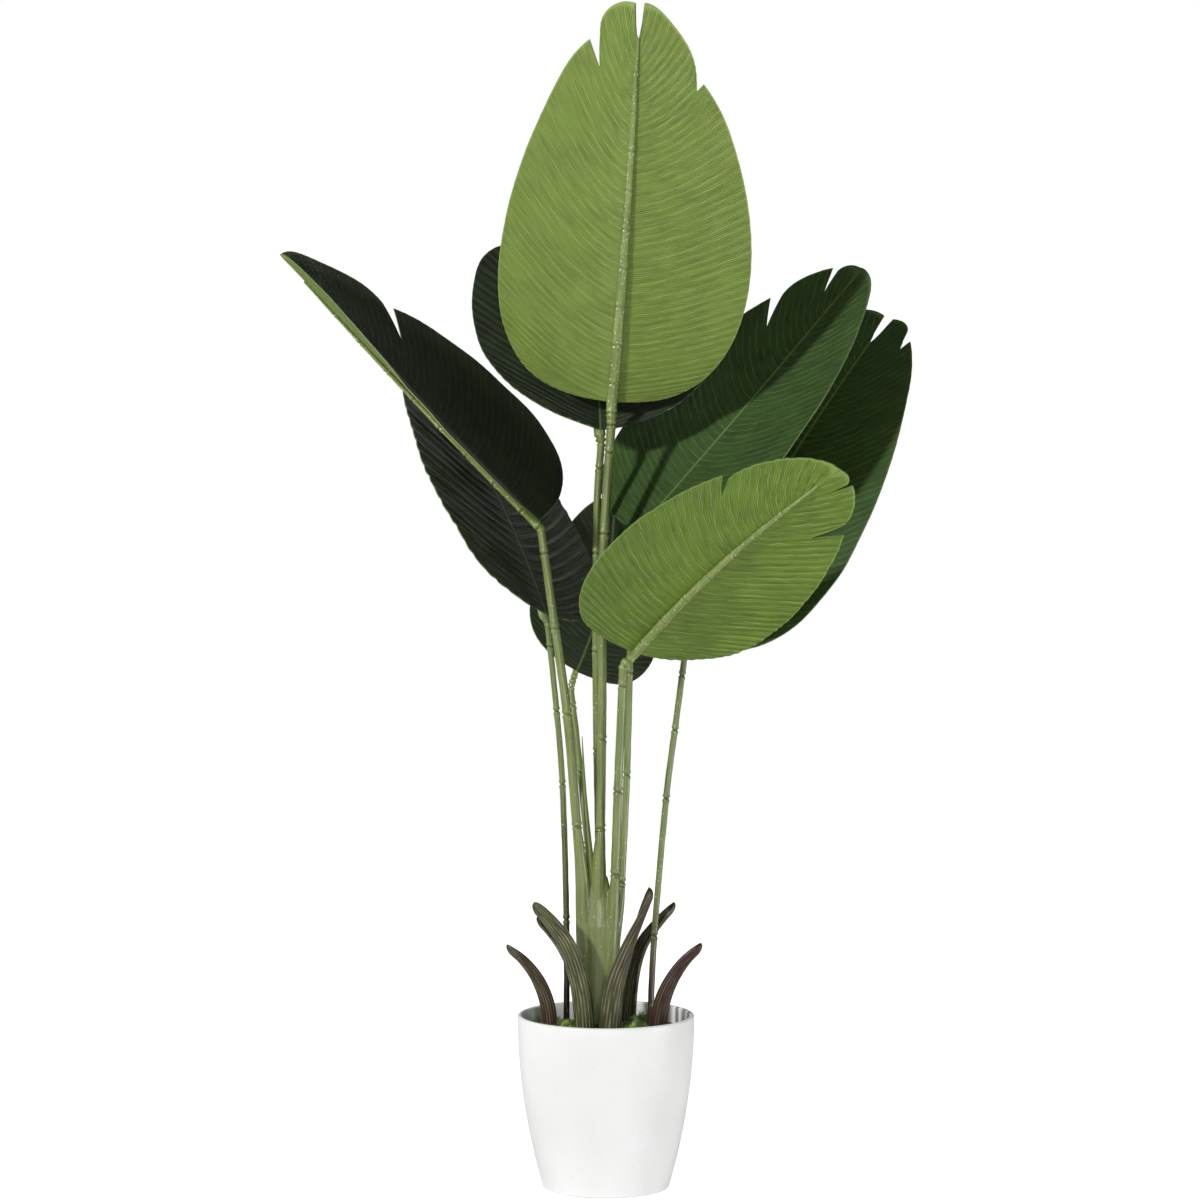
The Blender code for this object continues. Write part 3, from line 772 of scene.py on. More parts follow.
@dataclass
class Rod:
    """A round moulded rod with flutes and ring marks.

    centres, radii: the middle and the radius at each knot, in metres.
    ring_at: how far along the rod each ring mark is.
    flutes, flute_depth: how many shallow grooves run along it, and how deep.
    lumps, lumps_per_metre: how far the surface wanders in and out, and how often.
    brown_below, brown_fade: the height under which it is red-brown, and the fade above.
    dark_foot: how red-brown it gets, from 0 to 1.
    round_end: whether the last end closes in a dome, at the angles of dome, in radians.
    facing, flatness: the direction that it is flattened in, and its thickness there as
        a share of its width, from flat_from along the rod.
    step, sides: the length of a face along the rod, and how many faces are round it.
    thin: the radius under which rings, flutes and lumps fade out.
    """

    centres: Sequence[Vector]
    radii: Sequence[float]
    ring_at: Sequence[float] = ()
    flutes: int = 0
    flute_depth: float = 0.0
    lumps: float = 0.00012
    lumps_per_metre: float = 60.0
    brown_below: float = -1.0
    brown_fade: float = 0.03
    dark_foot: float = 0.95
    round_end: bool = False
    dome: tuple[float, ...] = (0.5, 0.9, 1.25, 1.5)
    facing: Vector = FRONT
    flatness: float = 1.0
    flat_from: float = 0.0
    step: float = 0.0014
    sides: int = 20
    thin: float = 0.003
    ring_rise: float = 0.00065
    ring_cut: float = 0.00080
    collar_offset: float = 0.0026
    collar_width: float = 0.0013
    cut_width: float = 0.0009

    def stations(self) -> list[tuple[Vector, float, float]]:
        """Cuts the rod into even steps.

        Returns:
            The centre, radius and distance along of each step.
        """
        marks = lengths_along(self.centres)
        length = float(marks[-1])
        spots = np.linspace(0.0, length, max(3, round(length / self.step)) + 1)
        axes = (
            np.interp(spots, marks, [centre[axis] for centre in self.centres]) for axis in range(3)
        )
        radii = np.interp(spots, marks, self.radii)
        steps = [
            (Vector((float(x), float(y), float(z))), float(radius), float(spot))
            for x, y, z, radius, spot in zip(*axes, radii, spots)
        ]
        if self.round_end:
            centre, radius, spot = steps[-1]
            ahead = (centre - steps[-2][0]).normalized()
            for angle in self.dome:
                rise = math.sin(angle) * radius
                steps.append((centre + ahead * rise, radius * math.cos(angle), spot + rise))
        return steps

    def ring_profile(self, along: float) -> Pair:
        """Finds the shape that the ring marks give the surface.

        Args:
            along: the distance along the rod.

        Returns:
            How far the surface rises there, and how deep in a ring's cut it is, from 0 to 1; the depth
            is painted as shade.
        """
        rise, groove_shade = 0.0, 0.0
        for ring in self.ring_at:
            away = along - ring
            if abs(away) > 4 * self.collar_offset:
                continue
            for collar in (-self.collar_offset, self.collar_offset):
                rise += self.ring_rise * math.exp(-(((away - collar) / self.collar_width) ** 2))
            cut = math.exp(-((away / self.cut_width) ** 2))
            rise -= self.ring_cut * cut
            groove_shade = max(groove_shade, cut)
        return rise, groove_shade

    def brownness(self, height: float) -> float:
        """How red-brown the rod is at a height, from 0 to 1."""
        return self.dark_foot * clamp((self.brown_below + self.brown_fade - height) / self.brown_fade)

    def add_to(self, bm: BMesh) -> None:
        """Adds the rod to a mesh as a grid rolled into a closed tube.

        Args:
            bm: the mesh.
        """
        steps = self.stations()
        verts = grid(bm, len(steps) - 1, self.sides)
        frames = self.frames([centre for centre, _, _ in steps])
        rings = [self.ring_profile(spot) for _, _, spot in steps]
        girth = 2 * math.pi * float(np.mean(self.radii))
        runs, marks = {}, {}
        for vert, (column, row) in verts.items():
            centre, radius, spot = steps[column]
            rise, groove_shade = rings[column]
            runs[vert] = (spot, girth * row / self.sides)
            # The first mark is the painted shade of the ring's cut, the second the red-brown foot.
            marks[vert] = (groove_shade, self.brownness(centre.z))
            across, up = frames[column]
            angle = 2 * math.pi * (row % self.sides) / self.sides
            flattened = clamp((spot - self.flat_from) / FLATTENING_LENGTH)
            thickness = 1 - (1 - self.flatness) * flattened
            out = across * math.cos(angle) * thickness + up * math.sin(angle)
            spin = Vector((spot * self.lumps_per_metre, math.cos(angle), math.sin(angle)))
            lump = noise.noise(spin) * self.lumps
            flute = (0.5 - 0.5 * math.cos(self.flutes * angle)) * self.flute_depth
            full = min(1.0, radius / self.thin)
            vert.co = centre + out * max(0.0, radius + (rise + lump - flute) * full)
        write_uv(bm, "run", runs)
        write_uv(bm, "marks", marks)
        bmesh.ops.remove_doubles(bm, verts=list(verts), dist=MERGE_DISTANCE)
        bmesh.ops.holes_fill(bm, edges=[edge for edge in bm.edges if edge.is_boundary], sides=0)

    def frames(self, centres: Sequence[Vector]) -> list[tuple[Vector, Vector]]:
        """Finds two directions across the rod at each step, which never twist.

        Args:
            centres: the middle of the rod at each step.

        Returns:
            The two directions for each step.
        """
        across = self.facing
        frames = []
        for index in range(len(centres)):
            before, after = centres[max(0, index - 1)], centres[min(len(centres) - 1, index + 1)]
            ahead = (after - before).normalized()
            across = (across - ahead * across.dot(ahead)).normalized()
            frames.append((across, ahead.cross(across)))
        return frames

    def crossings(self, heights: Iterable[float]) -> list[float]:
        """Finds where the rod passes heights.

        Args:
            heights: the heights.

        Returns:
            How far along the rod each of them that it reaches is reached first.
        """
        steps = self.stations()
        found = []
        for height in heights:
            found += [
                spot for (centre, _, spot), (after, _, _) in zip(steps, steps[1:])
                if (centre.z - height) * (after.z - height) <= 0
            ][:1]
        return found

    def build(self, name: str, finish: Finish) -> Object:
        """Makes the rod an object of its own.

        Args:
            name: the object's name.
            finish: the spray on it.

        Returns:
            The object, in the scene.
        """
        bm = bmesh.new()
        self.add_to(bm)
        bmesh.ops.recalc_face_normals(bm, faces=bm.faces)
        return mesh_object(name, bm, [finish], sharp=60)


# ---------------------------------------------------------------- pot and fill


@dataclass
class Pot:
    """The turned pot: a bowed wall on a flat base, with a rounded rim."""

    height: float = 0.175
    rim_radius: float = 0.0895
    base_radius: float = 0.0640
    wall: float = 0.0050
    floor: float = 0.0060
    foot_round: float = 0.0022
    turn_steps: int = 160
    wall_steps: int = 28
    arc_steps: int = 8
    finish: Finish = MouldedPot("polypropylene, injection moulded", 0.42, 1.49)

    def radius(self, height: float) -> float:
        """The outer radius at a height."""
        share = height / self.height
        return self.base_radius + (self.rim_radius - self.base_radius) * (1 - (1 - share) ** 2)

    def arc(self, centre: Pair, radius: float, start: float, end: float) -> list[Pair]:
        """Finds points on an arc of the profile.

        Args:
            centre: the middle of the arc, as a radius and a height.
            radius: the arc's own radius.
            start: the angle that it starts at, in degrees.
            end: the angle that it ends at, in degrees.

        Returns:
            The points, from start to end.
        """
        angles = np.radians(np.linspace(start, end, self.arc_steps + 1)).tolist()
        return [
            (centre[0] + radius * math.cos(angle), centre[1] + radius * math.sin(angle))
            for angle in angles
        ]

    def profile(self) -> list[Pair]:
        """Draws the wall's outline.

        Returns:
            Radii and heights, from the middle of the floor over the rim to the base's middle.
        """
        half = self.wall / 2
        heights = np.linspace(self.floor, self.height - half, self.wall_steps + 1).tolist()
        inner = [(self.radius(height) - self.wall, height) for height in heights]
        outer = [(self.radius(height), height) for height in reversed(heights)]
        rim = self.arc((self.radius(heights[-1]) - half, heights[-1]), half, 180, 0)[1:-1]
        foot_centre = (self.radius(self.foot_round) - self.foot_round, self.foot_round)
        foot = self.arc(foot_centre, self.foot_round, 0, -90)
        return [(0.0, self.floor), *inner, *rim, *outer, *foot, (0.0, 0.0)]

    def build(self) -> None:
        """Turns the profile once round."""
        bm = turned(self.profile(), self.turn_steps)
        dress(mesh_object("pot_shell", bm, [self.finish], sharp=40), "pot_white", "pot")


@dataclass
class PlantingFill:
    """The cast block in the pot, topped with glued peat crumbs and bark chips.

    mound, mounds_per_metre: how far the top rises and falls, and how often.
    crumb, crumbs_per_metre: the same for the crumbs on it.
    chip_length, chip_width, chip_height: a chip's shape, as shares of its size.
    chip_ragged: how far its corners stray, as a share of its size.
    chip_tilt, chip_lift: its tilt in radians, and its height over the crumbs, as a
        share of its size.
    chip_reach: how far out chips lie, as a share of the fill's radius.
    """

    top: float = 0.158
    bottom: float = 0.0063
    gap: float = 0.0003
    ring_steps: int = 52
    side_steps: int = 8
    turn_steps: int = 170
    mound: float = 0.0030
    mounds_per_metre: float = 28.0
    crumb: float = 0.0009
    crumbs_per_metre: float = 420.0
    chip_count: int = 170
    chip_size: Pair = (0.0012, 0.0030)
    chip_length: Pair = (1.0, 1.9)
    chip_width: Pair = (0.6, 1.0)
    chip_height: float = 0.45
    chip_ragged: float = 0.22
    chip_tilt: float = 0.6
    chip_lift: float = 0.2
    chip_reach: float = 0.97
    seed: int = 5
    finish: Finish = GluedPeat("peat and bark, glued", 0.95, 1.45)

    def surface(self, x: float, y: float) -> float:
        """Finds the height of the crumbs.

        Args:
            x: the place to the right of the pot's axis.
            y: the place behind it.

        Returns:
            The height there.
        """
        hump, grit = (
            noise.noise(Vector((x * rate, y * rate, layer))) * rise
            for rate, layer, rise in (
                (self.mounds_per_metre, 0.3, self.mound), (self.crumbs_per_metre, 1.7, self.crumb),
            )
        )
        return self.top - self.mound / 2 + hump + grit

    def build(self, pot: Pot) -> None:
        """Builds the block and the loose chips that lie on it.

        Args:
            pot: the pot that it stands in.
        """
        rim = pot.radius(self.top) - pot.wall - self.gap
        profile = [(rim * step / self.ring_steps, self.top) for step in range(self.ring_steps + 1)]
        for step in range(1, self.side_steps + 1):
            height = between((self.top, self.bottom), step / self.side_steps)
            profile.append((pot.radius(height) - pot.wall - self.gap, height))
        bm = turned([*profile, (0.0, self.bottom)], self.turn_steps)
        for vert in bm.verts:
            if vert.co.z > self.top - MERGE_DISTANCE:
                vert.co.z = self.surface(vert.co.x, vert.co.y)
        block = mesh_object("planting_block", bm, [self.finish], sharp=60)
        dress(block, "planting_fill", "planting_fill")
        self.build_chips(rim * self.chip_reach)

    def build_chips(self, reach: float) -> None:
        """Scatters flat bark chips over the fill.

        Args:
            reach: how far out from the pot's middle they lie.
        """
        draw = random.Random(self.seed)
        bm = bmesh.new()
        for _ in range(self.chip_count):
            spread = reach * math.sqrt(draw.random())
            angle = draw.uniform(0, 2 * math.pi)
            x, y = spread * math.cos(angle), spread * math.sin(angle)
            size = draw.uniform(*self.chip_size)
            turn = Matrix.Rotation(draw.uniform(0, math.pi), 4, "Z")
            tilt = Matrix.Rotation(draw.uniform(-self.chip_tilt, self.chip_tilt), 4, "X")
            length, width = draw.uniform(*self.chip_length), draw.uniform(*self.chip_width)
            stretch = Matrix.Diagonal((length, width, self.chip_height, 1.0))
            place = Matrix.Translation((x, y, self.surface(x, y) + size * self.chip_lift))
            chip = bmesh.ops.create_icosphere(
                bm, subdivisions=1, radius=size, matrix=place @ turn @ tilt @ stretch
            )
            for vert in chip["verts"]:
                stray = Vector((draw.uniform(-1, 1), draw.uniform(-1, 1), 0))
                vert.co += stray * size * self.chip_ragged
        dress(mesh_object("bark_chips", bm, [self.finish], sharp=20), "planting_fill")


@dataclass(frozen=True)
class Clump:
    """A clump of moss: its centre, and its radius and height."""

    centre: Pair
    radius: float
    height: float


@dataclass
class Moss:
    """Clumps of dyed moss on the fill, each a tuft of short feathered sprigs.

    clumps: in the order of the frame's moss nodes.
    stalk, leaflet: the lengths of a sprig's stalk and of a leaflet.
    leaflet_span, leaflet_scale: where on the stalk the first and the last leaflet are,
        and how long they are for a leaflet.
    mat_width, mat_height, mat_sunk: the closed mat under the sprigs, as shares of the
        clump, and how far its rim is sunk into the fill.
    spread, mound: how far out the sprigs stand and how high the middle ones do, as
        shares of the clump.
    lean: how far a sprig leans in the middle and how much more at the rim, in radians.
    """

    clumps: tuple[Clump, ...] = (
        Clump((-0.040, -0.026), 0.0105, 0.038),
        Clump((0.027, -0.026), 0.0130, 0.040),
        Clump((0.034, 0.052), 0.0120, 0.013),
        Clump((-0.008, 0.050), 0.0130, 0.012),
        Clump((-0.058, 0.034), 0.0100, 0.011),
    )
    base: float = 0.1565
    sprigs: int = 120
    leaflets: int = 8
    stalk: float = 0.0085
    stalk_radii: Pair = (0.00032, 0.00008)
    leaflet: float = 0.0026
    leaflet_radii: Pair = (0.00050, 0.00006)
    leaflet_flatness: float = 0.45
    leaflet_turn: float = 2.4
    leaflet_tilt: float = 0.95
    leaflet_span: Pair = (0.25, 0.97)
    leaflet_scale: Pair = (1.1, 0.6)
    mat_width: float = 0.8
    mat_height: float = 0.45
    mat_lumps: float = 0.35
    mat_sunk: float = 0.001
    spread: float = 1.15
    mound: float = 0.42
    lean: Pair = (0.25, 0.95)
    sprig_size: Pair = (0.7, 1.2)
    seed: int = 11
    finish: Finish = DyedMoss("moss, dried and dyed", 0.85, 1.45)

    def sprig(self) -> Mesh:
        """Builds one upright sprig: a stalk with a leaflet at every turn of it.

        Returns:
            Its mesh, with its foot at the origin.
        """
        bm = bmesh.new()
        bmesh.ops.create_cone(
            bm, cap_ends=True, segments=3, radius1=self.stalk_radii[0],
            radius2=self.stalk_radii[1], depth=self.stalk,
            matrix=Matrix.Translation((0, 0, self.stalk / 2)),
        )
        lift = Matrix.Translation((0, 0, self.leaflet / 2))
        shape = Matrix.Diagonal((1.0, self.leaflet_flatness, 1.0, 1.0))
        for number in range(self.leaflets):
            share = number / self.leaflets
            foot = Matrix.Translation((0, 0, self.stalk * between(self.leaflet_span, share)))
            turn = Matrix.Rotation(number * self.leaflet_turn, 4, "Z")
            tilt = Matrix.Rotation(self.leaflet_tilt, 4, "X")
            bmesh.ops.create_cone(
                bm, cap_ends=True, segments=4, radius1=self.leaflet_radii[0],
                radius2=self.leaflet_radii[1], matrix=foot @ turn @ tilt @ lift @ shape,
                depth=self.leaflet * between(self.leaflet_scale, share),
            )
        mesh = bpy.data.meshes.new("moss_sprig")
        bm.to_mesh(mesh)
        bm.free()
        return mesh

    def build(self) -> None:
        """Lays every clump's mat and plants its sprigs."""
        draw = random.Random(self.seed)
        sprig = self.sprig()
        for number, clump in enumerate(self.clumps, start=1):
            bm = bmesh.new()
            bmesh.ops.create_icosphere(bm, subdivisions=3, radius=1.0)
            wide, high = clump.radius * self.mat_width, clump.height * self.mat_height
            for vert in bm.verts:
                lump = 1 + self.mat_lumps * noise.noise(vert.co * 2.5 + Vector((number, 0, 0)))
                vert.co = Vector((
                    clump.centre[0] + vert.co.x * wide * lump,
                    clump.centre[1] + vert.co.y * wide * lump,
                    self.base + max(0.0, vert.co.z) * high * lump - self.mat_sunk,
                ))
            for _ in range(self.sprigs):
                self.plant(bm, sprig, draw, clump)
            tuft = mesh_object(f"moss_tuft_{number}", bm, [self.finish], sharp=30)
            dress(tuft, "moss", f"moss_{number}")
        bpy.data.meshes.remove(sprig)

    def plant(self, bm: BMesh, sprig: Mesh, draw: random.Random, clump: Clump) -> None:
        """Adds one sprig to a clump, leaning outwards the further out it stands.

        Args:
            bm: the clump's mesh.
            sprig: the sprig that is copied.
            draw: the seeded source of its place and size.
            clump: the clump's measures.
        """
        share = math.sqrt(draw.random())
        angle = draw.uniform(0, 2 * math.pi)
        spread = share * clump.radius * self.spread
        root = Matrix.Translation((
            clump.centre[0] + math.cos(angle) * spread,
            clump.centre[1] + math.sin(angle) * spread,
            self.base + clump.height * self.mound * (1 - share) * draw.uniform(0.6, 1.0),
        ))
        upright, more = self.lean
        lean = Matrix.Rotation(upright + more * share * draw.uniform(0.6, 1.1), 4, "Y")
        facing = Matrix.Rotation(angle, 4, "Z")
        spin = Matrix.Rotation(draw.uniform(0, 2 * math.pi), 4, "Z")
        size = Matrix.Scale(draw.uniform(*self.sprig_size), 4)
        before = len(bm.verts)
        bm.from_mesh(sprig)
        bm.verts.ensure_lookup_table()
        place = root @ facing @ lean @ spin @ size
        bmesh.ops.transform(bm, matrix=place, verts=bm.verts[before:])


# ---------------------------------------------------------------- trunk and stems


@dataclass(frozen=True)
class StemPlan:
    """A stem, from the socket at its top down to its foot.

    route: the points that it passes through.
    top_radius, foot_radius: its radius at the two ends.
    rings: the heights of its ring marks.
    brown_below, brown_fade: the height under which it is red-brown, and the fade above.
    finish: the spray on it.
    """

    route: tuple[Point, ...]
    top_radius: float
    foot_radius: float
    rings: tuple[float, ...] = ()
    brown_below: float = -1.0
    brown_fade: float = 0.03
    finish: Finish = SprayedStem("polyethylene, moulded and sprayed, stem", 0.36, 1.51)

    def top(self) -> tuple[Vector, Vector]:
        """The middle of the stem's top, and the direction down the stem there."""
        points = smooth_route(self.route, 3)
        return points[0], (points[1] - points[0]).normalized()

    def foot(self) -> tuple[Vector, Vector]:
        """The middle of the stem's foot, and the direction it points in there."""
        above, foot = (Vector(point) for point in self.route[-2:])
        return foot, (foot - above).normalized()


# A darker, less glossy copy of the stem spray, for the stems of left_low and far_right, which stand
# among the lower leaves: its darker green is painted shade.
SHADED_STEM = SprayedStem(
    "polyethylene, moulded and sprayed, shaded olive stem", 0.36, 1.51,
    green="#66743C", pale="#7F8952", deep="#48522A", coat=0.08,
)
STEMS = {
    "crown": StemPlan(
        ((0.0050, -0.011, 0.766), (-0.001, -0.012, 0.675), (-0.004, -0.011, 0.595),
         (-0.004, -0.009, 0.500), (-0.0055, -0.006, 0.362)), 0.0046, 0.0048,
        (0.742, 0.660, 0.560, 0.454, 0.364),
    ),
    "back": StemPlan(
        ((-0.0050, 0.016, 0.748), (-0.009, 0.018, 0.685), (-0.010, 0.018, 0.552),
         (-0.009, 0.016, 0.451), (-0.007, 0.010, 0.340)), 0.0038, 0.0040,
        (0.725, 0.640, 0.540, 0.440, 0.345),
    ),
    "left_high": StemPlan(
        ((-0.0650, 0.000, 0.663), (-0.053, -0.004, 0.579), (-0.039, -0.008, 0.479),
         (-0.029, -0.010, 0.364)), 0.0042, 0.0048, (0.640, 0.565, 0.479, 0.366),
    ),
    # Its red-brown fades out far up the stem and so also darkens the stretch in the leaves' shade:
    # partly the foot's own colour, partly painted shade.
    "left_low": StemPlan(
        ((-0.0590, 0.022, 0.567), (-0.051, 0.020, 0.492), (-0.044, 0.018, 0.406),
         (-0.040, 0.012, 0.268), (-0.040, 0.010, 0.1403)), 0.0030, 0.0032,
        (0.545, 0.480, 0.406, 0.268), 0.215, 0.20, SHADED_STEM,
    ),
    "low_back": StemPlan(
        ((-0.0354, 0.086, 0.496), (-0.030, 0.065, 0.452), (-0.025, 0.042, 0.404),
         (-0.018, 0.013, 0.340)), 0.0029, 0.0034, (0.480, 0.415, 0.344),
    ),
    "right_mid": StemPlan(
        ((0.0280, 0.010, 0.642), (0.026, 0.010, 0.594), (0.024, 0.009, 0.527),
         (0.021, 0.008, 0.416), (0.016, 0.006, 0.304)), 0.0034, 0.0036,
        (0.620, 0.520, 0.416, 0.307),
    ),
    "far_right": StemPlan(
        ((0.0800, 0.030, 0.537), (0.070, 0.028, 0.461), (0.061, 0.025, 0.390),
         (0.049, 0.018, 0.251), (0.044, 0.012, 0.1403)), 0.0032, 0.0033,
        (0.515, 0.460, 0.390, 0.251), 0.205, 0.11, SHADED_STEM,
    ),
    "front_right": StemPlan(
        ((0.0170, -0.022, 0.526), (0.015, -0.020, 0.475), (0.012, -0.017, 0.402),
         (0.009, -0.012, 0.316)), 0.0042, 0.0046, (0.508, 0.402, 0.318),
    ),
}


@dataclass
class Stem:
    """A moulded stem with its ring marks."""

    name: str
    plan: StemPlan
    samples: int = 10
    flutes: int = 5
    flute_depth: float = 0.00022
    lumps: float = 0.00022

    def build(self) -> None:
        """Builds the stem from its socket down to its foot."""
        plan = self.plan
        route = smooth_route(plan.route, self.samples)
        rod = Rod(
            route, np.linspace(plan.top_radius, plan.foot_radius, len(route)),
            flutes=self.flutes, flute_depth=self.flute_depth, lumps=self.lumps,
            brown_below=plan.brown_below, brown_fade=plan.brown_fade,
        )
        rod.ring_at = rod.crossings(plan.rings)
        stem = rod.build(f"stem_{self.name}_moulding", plan.finish)
        dress(stem, "stem_green", "stem_" + self.name)


@dataclass(frozen=True)
class Column:
    """A stem's column in the trunk: its upper, middle and foot points and radii."""

    upper: Point
    upper_radius: float
    middle: Point
    middle_radius: float
    foot: Pair
    foot_radius: float


COLUMNS = {
    "crown": Column(
        (-0.0075, -0.005, 0.317), 0.0078, (-0.008, -0.004, 0.250), 0.0100, (-0.006, -0.002), 0.0095,
    ),
    "back": Column(
        (-0.0070, 0.011, 0.300), 0.0050, (-0.006, 0.011, 0.250), 0.0072, (-0.005, 0.009), 0.0080,
    ),
    "left_high": Column(
        (-0.0245, -0.009, 0.317), 0.0066, (-0.021, -0.006, 0.250), 0.0092, (-0.016, -0.004), 0.0092,
    ),
    "low_back": Column(
        (-0.0165, 0.010, 0.300), 0.0045, (-0.015, 0.009, 0.250), 0.0070, (-0.012, 0.008), 0.0080,
    ),
    "right_mid": Column(
        (0.0135, 0.006, 0.280), 0.0050, (0.0095, 0.006, 0.250), 0.0055, (0.003, 0.006), 0.0080,
    ),
    "front_right": Column(
        (0.0080, -0.011, 0.295), 0.0055, (0.005, -0.009, 0.250), 0.0072, (0.000, -0.007), 0.0085,
    ),
}
SHOOT = (
    ((-0.024, -0.0040, 0.457), 0.0004), ((-0.021, -0.0040, 0.393), 0.0022),
    ((-0.016, -0.0035, 0.330), 0.0042), ((-0.012, -0.0040, 0.280), 0.0050),
)


@dataclass
class Trunk:
    """The moulded trunk: each stem's column, fused with its neighbours on one peg.

    columns: the column under each stem's socket.
    shoot: points and radii of the young shoot beside the columns, from its tip down.
    foot, foot_top: the heights between which the columns stand upright in the fill.
    core: heights and radii of the web that fills the gaps between the columns.
    voxel, smoothing: the size of the cells that fuse it, and how often it is smoothed.
    brown_height, brown_fade, brown_share: where its foot turns brown, and how much.
    groove_depth: how deep a hollow between columns is that gets the full painted shade.
    grain, grain_across, grain_along: the surface's unevenness, and how often it changes
        in a metre across the trunk and along it.
    """

    columns: dict[str, Column]
    shoot: tuple[tuple[Point, float], ...]
    foot: float = 0.150
    foot_top: float = 0.185
    straight_end: float = 0.004
    knot_steps: int = 6
    column_lumps: float = 0.0003
    column_sides: int = 28
    voxel: float = 0.00085
    smoothing: int = 6
    peg_radius: float = 0.0155
    peg_centre: Point = (-0.006, 0.0, 0.152)
    peg_height: float = 0.020
    core_centre: Pair = (-0.0072, -0.0045)
    core: tuple[Pair, ...] = ((0.165, 0.0185), (0.265, 0.0208), (0.315, 0.0090))
    core_flatness: float = 0.60
    brown_height: float = 0.205
    brown_fade: float = 0.06
    brown_share: float = 0.45
    groove_depth: float = 0.00006
    grain: float = 0.00012
    grain_across: float = 500.0
    grain_along: float = 25.0
    finish: Finish = SprayedStem(
        "polyethylene, moulded and sprayed, trunk", 0.40, 1.51, follows=Follows.HEIGHT,
        green="#6C773F", pale="#7C874F", deep="#5A6533",
    )
    shoot_finish: Finish = SprayedStem("polyethylene, moulded and sprayed, shoot", 0.38, 1.51)

    def tapered(self, knots: Sequence[Sequence[float]], radii: Sequence[float], **shape: float) -> Rod:
        """Runs a rod smoothly through knots.

        Args:
            knots: the middle of the rod at each knot.
            radii: its radius at each knot.
            shape: the rod's other fields.

        Returns:
            The rod.
        """
        route = smooth_route(knots, self.knot_steps)
        shares = np.linspace(0, len(knots) - 1, len(route))
        return Rod(route, np.interp(shares, range(len(knots)), radii), **shape)

    def column_rod(self, name: str) -> Rod:
        """Draws one column, from its stem's socket down into the fill.

        Args:
            name: the stem's name.

        Returns:
            The column as a rod.
        """
        column, stem = self.columns[name], STEMS[name]
        joint, down = stem.foot()
        return self.tapered(
            (
                joint, joint + down * self.straight_end, column.upper, column.middle,
                (*column.foot, self.foot_top), (*column.foot, self.foot),
            ),
            (
                stem.foot_radius, stem.foot_radius, column.upper_radius, column.middle_radius,
                column.foot_radius, column.foot_radius,
            ),
            lumps=self.column_lumps, sides=self.column_sides,
        )

    def build(self) -> None:
        """Fuses the columns, then adds the shoot that stands beside them."""
        bm = bmesh.new()
        for name in self.columns:
            self.column_rod(name).add_to(bm)
        bmesh.ops.create_cone(
            bm, cap_ends=True, segments=40, radius1=self.peg_radius, radius2=self.peg_radius,
            depth=self.peg_height, matrix=Matrix.Translation(self.peg_centre),
        )
        flatten = Matrix.Diagonal((1.0, self.core_flatness, 1.0, 1.0))
        for (low, wide), (high, narrow) in zip(self.core, self.core[1:]):
            bmesh.ops.create_cone(
                bm, cap_ends=True, segments=64, radius1=wide, radius2=narrow, depth=high - low,
                matrix=Matrix.Translation((*self.core_centre, (low + high) / 2)) @ flatten,
            )
        bmesh.ops.recalc_face_normals(bm, faces=bm.faces)
        trunk = mesh_object("trunk_moulding", bm, [self.finish], sharp=60)
        modify(trunk, "REMESH", sharp=60, mode="VOXEL", voxel_size=self.voxel)
        self.smooth(trunk)
        dress(trunk, "stem_green", "trunk")
        knots, radii = zip(*self.shoot)
        shoot = self.tapered(knots, radii, flutes=3, flute_depth=0.0003, lumps=0.0001)
        dress(shoot.build("young_shoot", self.shoot_finish), "stem_green")

    def smooth(self, trunk: Object) -> None:
        """Smooths the fused columns, and marks the painted shade of the grooves between them and the
        brown foot.

        Args:
            trunk: the fused trunk.
        """
        bm = bmesh.new()
        bm.from_mesh(trunk.data)
        for _ in range(self.smoothing):
            bmesh.ops.smooth_vert(
                bm, verts=bm.verts, factor=0.5, use_axis_x=True, use_axis_y=True, use_axis_z=True
            )
        bm.normal_update()
        # The hollows between columns are painted darker: painted shade.
        write_uv(bm, "marks", {
            vert: (self.crevice_shade(vert), self.brownness(vert.co.z)) for vert in bm.verts
        })
        for vert in bm.verts:
            x, y, z = vert.co
            place = Vector((x * self.grain_across, y * self.grain_across, z * self.grain_along))
            vert.co += vert.normal * noise.noise(place) * self.grain
        bm.to_mesh(trunk.data)
        bm.free()
        trunk.data.materials.clear()
        trunk.data.materials.append(self.finish.material())
        trunk.data.shade_smooth()

    def crevice_shade(self, vert: BMVert) -> float:
        """Measures how deep in a hollow between columns a point lies, which sets the painted shade
        there.

        Args:
            vert: the point, with its normal up to date.

        Returns:
            From 0, on an even or bulging surface, to 1.
        """
        around = [edge.other_vert(vert).co for edge in vert.link_edges]
        middle = sum(around, Vector()) / max(1, len(around))
        return clamp((middle - vert.co).dot(vert.normal) / self.groove_depth)

    def brownness(self, height: float) -> float:
        """How brown the trunk is at a height, from 0 to 1."""
        return self.brown_share * clamp((self.brown_height - height) / self.brown_fade)


# ---------------------------------------------------------------- leaves


@dataclass(frozen=True)
class Notch:
    """A tear along a vein. The lobe on the tip side is drawn back and rounded.

    side: the half of the blade that it is in.
    at: the vein, from 0 at the blade's base to 1 at its tip.
    start: where on the vein the tear begins, from 0 at the midrib to 1 at the margin.
    gap: how far the tip-side lobe is drawn back at the margin, in veins as at is.
    blunt: how far the other lobe's corner is drawn in.
    """

    side: Side
    at: float
    start: float
    gap: float
    blunt: float = 0.02


